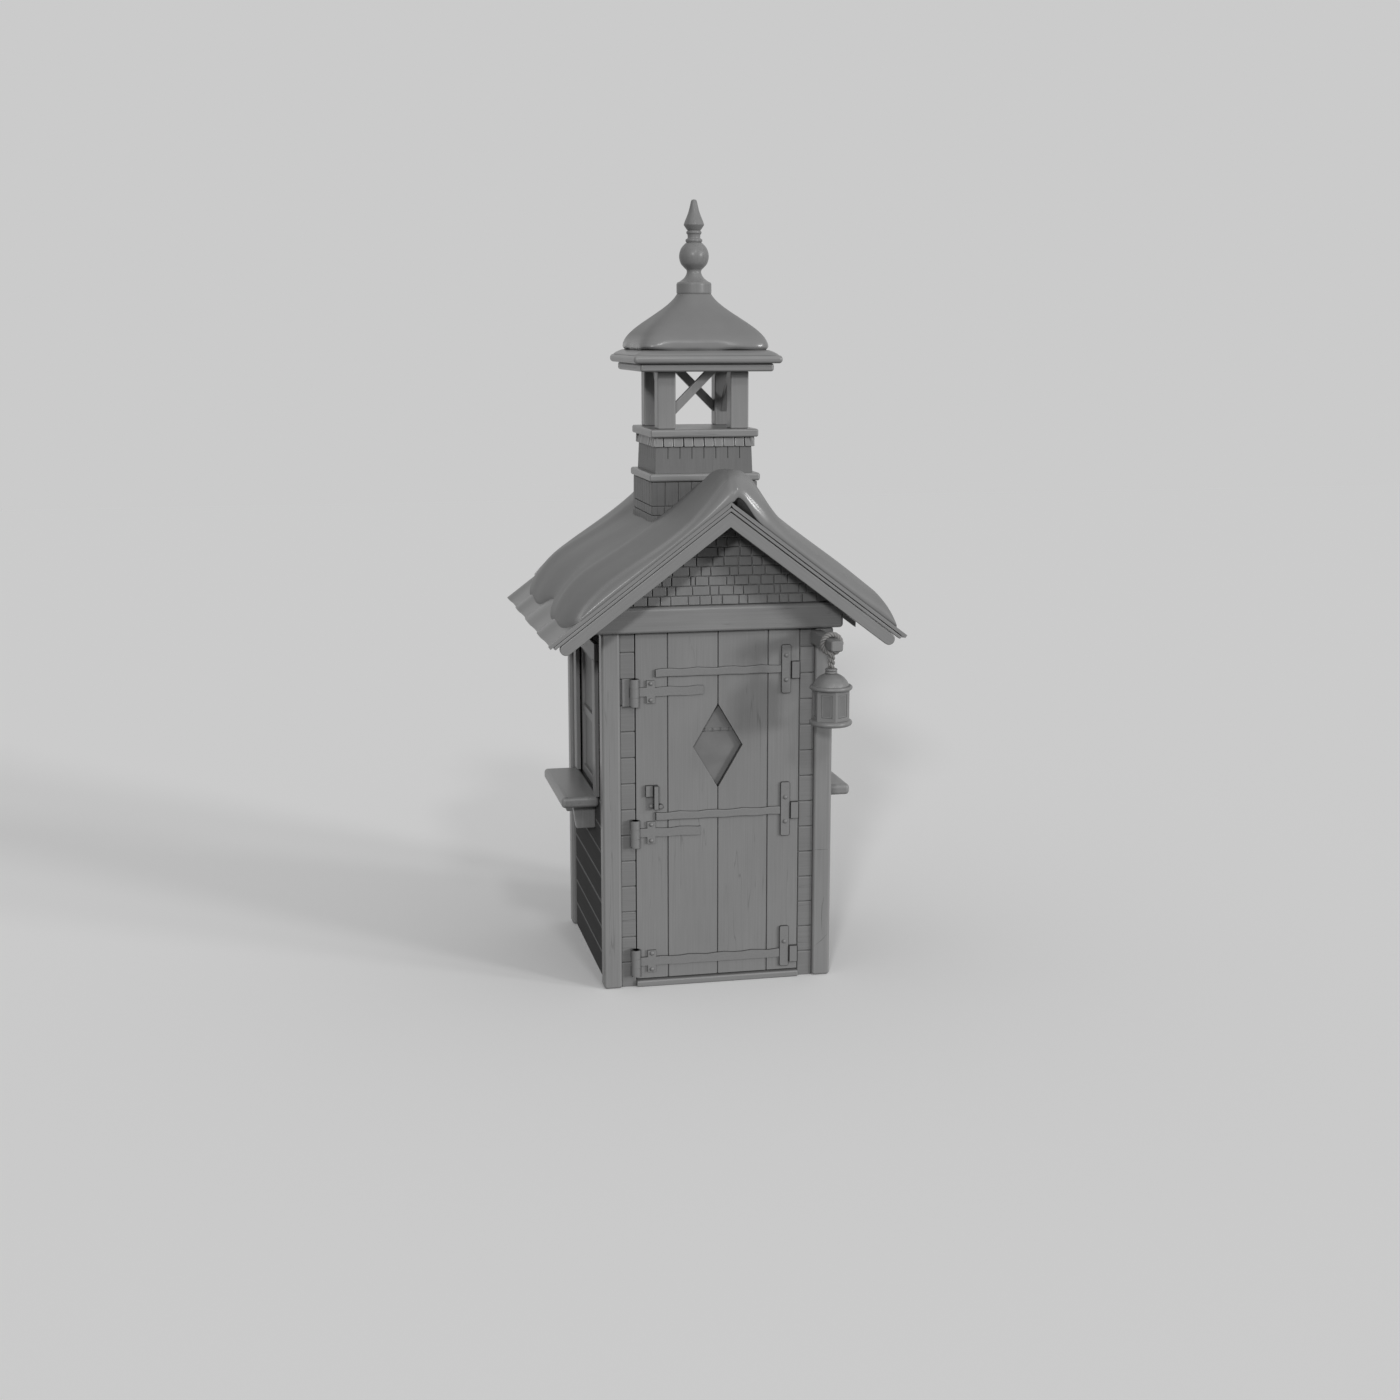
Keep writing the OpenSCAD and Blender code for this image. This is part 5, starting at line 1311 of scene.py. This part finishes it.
def barrel(low_z, high_z, x, y, ends):
    """Sleeve of one knuckle. Only the ends of the whole barrel are rounded."""
    profile = [(BARREL_CORE, low_z)]
    for z, turned in ((low_z, -1), (high_z, 1)):
        if turned in ends:
            angles = [math.pi / 2 * k / ROUND_STEPS for k in range(ROUND_STEPS + 1)]
            curve = [(BARREL_RADIUS - BARREL_ROUND * (1 - math.cos(a)),
                      z - turned * BARREL_ROUND * (1 - math.sin(a))) for a in angles]
            profile += curve if turned > 0 else curve[::-1]
        else:
            profile.append((BARREL_RADIUS, z))
    profile.append((BARREL_CORE, high_z))
    work = blank()
    lathe(work, profile, (x, y), BARREL_POINTS)
    return as_mesh(work)


door_iron = forged_iron("painted forged iron with painted edge shade", IRON_GREY, IRON_EDGE_SHADE)
iron_face = door_low.y - IRON_THICK - IRON_PROUD
for node, body in (("hinge_leaves", "shed"), ("hinge_straps", "door"), ("door_bars", "door"),
                   ("lock_plates", "door"), ("door_handle", "door")):
    work = merged_copy(node)
    if node in ("hinge_straps", "door_bars"):
        hand_forged(work)
    for vert in work.verts:
        if node != "door_handle" and abs(vert.co.y - door_low.y + IRON_THICK) < 1e-4:
            vert.co.y = iron_face
    ease(work, sharp_edges(work), IRON_ROUND)
    # Sides and rounded edges of the irons take the edge mark, which paints them dark as a shade outline
    mark(work, [f for f in work.faces if abs(f.normal.y) < IRON_SIDE], "wear_painted_light_and_glaze", 1.0)
    for low, high in solids_of("hinge_leaves"):
        third = (high.z - low.z) / 3
        x, y = high.x - BARREL_RADIUS, low.y + BARREL_RADIUS
        if node == "hinge_leaves":
            work.from_mesh(barrel(low.z, low.z + third - BARREL_GAP, x, y, [-1]))
            work.from_mesh(barrel(high.z - third + BARREL_GAP, high.z, x, y, [1]))
        if node == "hinge_straps":
            work.from_mesh(barrel(low.z + third, high.z - third, x, y, []))
    settle(node + "_forged", work, door_iron, [node], body)

bolts_tree, given = new_tree("bolts on points", {
    "Radius": "Float", "Proud": "Float", "Material": "Material"})
dome = add_node(bolts_tree, "GeometryNodeMeshUVSphere",
                {"Segments": 20, "Rings": 12, "Radius": given["Radius"]})
flat = add_node(bolts_tree, "ShaderNodeMath", {0: given["Proud"], 1: given["Radius"]}, operation="DIVIDE")
size = add_node(bolts_tree, "ShaderNodeCombineXYZ", {0: 1.0, 1: flat, 2: 1.0})
dome = add_node(bolts_tree, "GeometryNodeTransform", {"Geometry": dome, "Scale": size})
placed = add_node(bolts_tree, "GeometryNodeInstanceOnPoints",
                  {"Points": given["Geometry"], "Instance": dome})
close_tree(bolts_tree, placed, given["Material"])

bolt_places = [(CROSS_X, iron_face, LATCH_BOLT_Z)] + [(LOCK_X, iron_face, z) for z in LOCK_BOLTS_Z]
for low, high in solids_of("hinge_straps"):
    middle = (low.z + high.z) / 2
    bolt_places += [(CROSS_X, iron_face, z) for z in (middle - CROSS_REACH, middle + CROSS_REACH)]
points = bpy.data.meshes.new("bolt places")
points.from_pydata(bolt_places, [], [])
bolts = grow("door_bolts", points, bolts_tree,
             {"Radius": BOLT_RADIUS, "Proud": BOLT_PROUD, "Material": door_iron})
settle("door_bolts", bolts, door_iron, (), "door")


# Lantern beam: one pine arm housed in the right front post, sawn thinner towards its end, with
# well worn edges.
work = merged_copy("lantern_beam")
settle("lantern_beam_dressed", work, lengthwise_pine, ["lantern_beam"])


# Rope: a three-strand hemp rope laid in a loop over the beam. Its two legs are twisted round each
# other below the loop and carry the lantern.
ROPE_GREY = "#868584"
ROPE_RADIUS = 0.012
ROPE_LAID = 0.0148
STRAND_SHARE = 0.45
LOOP_LAYS = 6
LEG_RADIUS = 0.0108
LEG_SPREAD = 0.0095
LEG_TURNS = 1.5
LOOP_STEPS, LEG_STEPS, ROPE_STEP = 64, 32, 0.004


def hemp(name, tone):
    """Laid hemp: fine fibres round each strand, matt."""
    fibre = 0.0016
    material, tree = new_material(name)
    place = add_node(tree, "ShaderNodeTexCoord", give="Object")
    hairs = add_node(tree, "ShaderNodeTexNoise", {"Vector": place, "Scale": 1 / fibre, "Detail": 4.0})
    level = add_node(tree, "ShaderNodeMapRange", {0: hairs, 1: 0.3, 2: 0.7, 3: 0.84, 4: 1.1})
    relief = add_node(tree, "ShaderNodeBump", {"Height": hairs, "Strength": 0.3, "Distance": 0.001})
    return coat(material, tone, level, {"Roughness": 0.7, "Normal": relief})


rope_tree, given = new_tree("laid rope", {
    "Radius": "Float", "Lay": "Float", "Strands": "Int", "Step": "Float", "Material": "Material"})
path = add_node(rope_tree, "GeometryNodeResampleCurve",
                {"Curve": given["Geometry"], "Length": given["Step"]}, mode="LENGTH")
strands = add_node(rope_tree, "GeometryNodeDuplicateElements",
                   {"Geometry": path, "Amount": given["Strands"]}, domain="SPLINE", give=None)
run = add_node(rope_tree, "GeometryNodeSplineParameter", give="Length")
turns = add_node(rope_tree, "ShaderNodeMath", {0: run, 1: given["Lay"]}, operation="DIVIDE")
share = add_node(rope_tree, "ShaderNodeMath", {0: strands[1], 1: given["Strands"]}, operation="DIVIDE")
turns = add_node(rope_tree, "ShaderNodeMath", {0: turns, 1: share}, operation="ADD")
phase = add_node(rope_tree, "ShaderNodeMath", {0: turns, 1: 2 * math.pi}, operation="MULTIPLY")
normal = add_node(rope_tree, "GeometryNodeInputNormal")
tangent = add_node(rope_tree, "GeometryNodeInputTangent")
across = add_node(rope_tree, "ShaderNodeVectorRotate", {"Vector": normal, "Axis": tangent, "Angle": phase})
reach = add_node(rope_tree, "ShaderNodeMath", {0: given["Radius"], 1: 1 - STRAND_SHARE},
                 operation="MULTIPLY")
strand_r = add_node(rope_tree, "ShaderNodeMath", {0: given["Radius"], 1: STRAND_SHARE}, operation="MULTIPLY")
offset = add_node(rope_tree, "ShaderNodeVectorMath", {0: across, "Scale": reach}, operation="SCALE")
laid = add_node(rope_tree, "GeometryNodeSetPosition", {"Geometry": strands[0], "Offset": offset})
ring = add_node(rope_tree, "GeometryNodeCurvePrimitiveCircle", {"Resolution": 10, "Radius": strand_r})
strand = add_node(rope_tree, "GeometryNodeCurveToMesh",
                  {"Curve": laid, "Profile Curve": ring, "Fill Caps": True})
close_tree(rope_tree, strand, given["Material"])

rope_low, rope_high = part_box("lantern_rope")
cap_low, cap_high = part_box("lantern_cap")
pin = (rope_low + rope_high) / 2
loop_r = rope_high.x - pin.x - ROPE_RADIUS
pin.z = rope_high.z - loop_r - ROPE_RADIUS
around = [2 * math.pi * k / LOOP_STEPS for k in range(LOOP_STEPS)]
loop = [pin + Vector((loop_r * math.sin(a), 0, loop_r * math.cos(a))) for a in around]
leg_top = pin.z - loop_r
legs = []
for side in (0, math.pi):
    leg = []
    for k in range(LEG_STEPS + 1):
        angle = side + 2 * math.pi * LEG_TURNS * k / LEG_STEPS
        leg.append(Vector((pin.x + LEG_SPREAD * math.cos(angle), pin.y + LEG_SPREAD * math.sin(angle),
                           leg_top + (cap_high.z - leg_top) * k / LEG_STEPS)))
    legs.append(leg)
rope_lay = 2 * math.pi * loop_r / LOOP_LAYS
hemp_rope = hemp("laid hemp rope", ROPE_GREY)
work = blank()
for name, paths, closed, radius in (("loop", [loop], True, ROPE_LAID), ("legs", legs, False, LEG_RADIUS)):
    curve = bpy.data.curves.new(name, "CURVE")
    curve.dimensions = "3D"
    for points in paths:
        spline = curve.splines.new("POLY")
        spline.points.add(len(points) - 1)
        for point, place in zip(spline.points, points):
            point.co = (*place, 1.0)
        spline.use_cyclic_u = closed
    work.from_mesh(grow(name, curve, rope_tree, {
        "Radius": radius, "Lay": rope_lay, "Strands": 3, "Step": ROPE_STEP, "Material": hemp_rope}))
settle("lantern_rope_laid", work, hemp_rope, ["lantern_rope"], "lantern", crease=80)


# Lantern: a spun iron cap with a ribbed collar and rolled rim, a six-sided cage with a pane behind
# each side, and a round base with a rolled edge.
LANTERN_GREY = "#7e7e7e"
LANTERN_POINTS = 72
CAGE_ROUND = 0.0025
COLLAR_TALL = 0.028
COLLAR_SHARE = 0.27
COLLAR_RIBS = 2
RIM_TALL = 0.024
RIB_SET, RIB_SIZE = 0.3, 0.46
CAP_HOLLOW = 0.006
LANTERN_EDGE = 0.14
DOME_SHARES = ((0.83, 0.0), (0.81, 0.1), (0.76, 0.3), (0.69, 0.48), (0.59, 0.68), (0.47, 0.84), (0.36, 0.95))
ROLL_STEPS = 8
CAGE_BAR = 0.018
CAGE_SIDES = 6
PANE_IN = 0.0035
PANE_BEAD = 0.004
BEAD_ROUND, BEAD_SEAT = 0.0015, 0.001
THIN_ROUND = 0.0008


def half_round(radius, z, size):
    """Profile points of a roll that stands out from a radius, from its foot to its head."""
    angles = [math.pi * (k / ROLL_STEPS - 0.5) for k in range(ROLL_STEPS + 1)]
    return [(radius + size * math.cos(a), z + size * math.sin(a)) for a in angles]


lantern_iron = forged_iron("painted spun iron", LANTERN_GREY, LANTERN_EDGE)
centre = (pin.x, pin.y)
rim_r = cap_high.x - pin.x
neck_z = cap_high.z - COLLAR_TALL
dome_z = cap_low.z + RIM_TALL
profile = [(BARREL_CORE, cap_low.z + CAP_HOLLOW), (rim_r - RIM_TALL, cap_low.z + CAP_HOLLOW)]
profile += half_round(rim_r - RIM_TALL / 2, cap_low.z + RIM_TALL / 2, RIM_TALL / 2)
profile += smooth_profile([(rim_r * r, dome_z + (neck_z - dome_z) * h) for r, h in DOME_SHARES], 6)
rib = COLLAR_TALL / COLLAR_RIBS
for k in range(COLLAR_RIBS):
    profile += half_round(COLLAR_SHARE * rim_r - RIB_SET * rib, neck_z + (k + 0.5) * rib, RIB_SIZE * rib)
profile += [(BARREL_CORE, cap_high.z)]
work = blank()
lathe(work, profile, centre, LANTERN_POINTS)
settle("lantern_cap_spun", work, lantern_iron, ["lantern_cap"], "lantern", crease=50)

eased("lantern_cage", lantern_iron, CAGE_ROUND, 3, 40, "lantern")

panes_low, panes_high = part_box("lantern_panes")
cage_points = [v.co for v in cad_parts["lantern_cage"].data.vertices]
cage_points = [p for p in cage_points if p.z > panes_high.z - CAGE_BAR]
cage_r = max(math.hypot(p.x - pin.x, p.y - pin.y) for p in cage_points)
face_at = cage_r * math.cos(math.pi / CAGE_SIDES)
cage_turn = 2 * math.pi / CAGE_SIDES
pane_half = cage_r * math.sin(cage_turn / 2) - CAGE_BAR
foot_z, head_z = panes_low.z + CAGE_BAR, panes_high.z - CAGE_BAR
bead_half = pane_half - 2 * PANE_BEAD
bead_foot, bead_head = foot_z + PANE_BEAD, head_z - PANE_BEAD
pane, bead = blank(), blank()
add_block(pane, (face_at - 2 * PANE_IN, -pane_half, foot_z),
          (face_at - PANE_IN, pane_half, head_z), THIN_ROUND)
for low, high in (((-bead_half, bead_foot), (-bead_half + PANE_BEAD, bead_head)),
                  ((bead_half - PANE_BEAD, bead_foot), (bead_half, bead_head)),
                  ((-bead_half, bead_foot), (bead_half, bead_foot + PANE_BEAD)),
                  ((-bead_half, bead_head - PANE_BEAD), (bead_half, bead_head))):
    add_block(bead, (face_at - PANE_IN - BEAD_SEAT, *low), (face_at - PANE_IN / 2, *high), BEAD_ROUND)
glass, beads = blank(), blank()
for one, whole in ((as_mesh(pane), glass), (as_mesh(bead), beads)):
    for k in range(CAGE_SIDES):
        turned = one.copy()
        turned.transform(Matrix.Translation((*centre, 0)) @ Matrix.Rotation(k * cage_turn, 4, "Z"))
        whole.from_mesh(turned)
settle("lantern_panes_clouded", glass, frosted_glass, ["lantern_panes"], "lantern")
settle("lantern_pane_beads", beads, lantern_iron, (), "lantern")
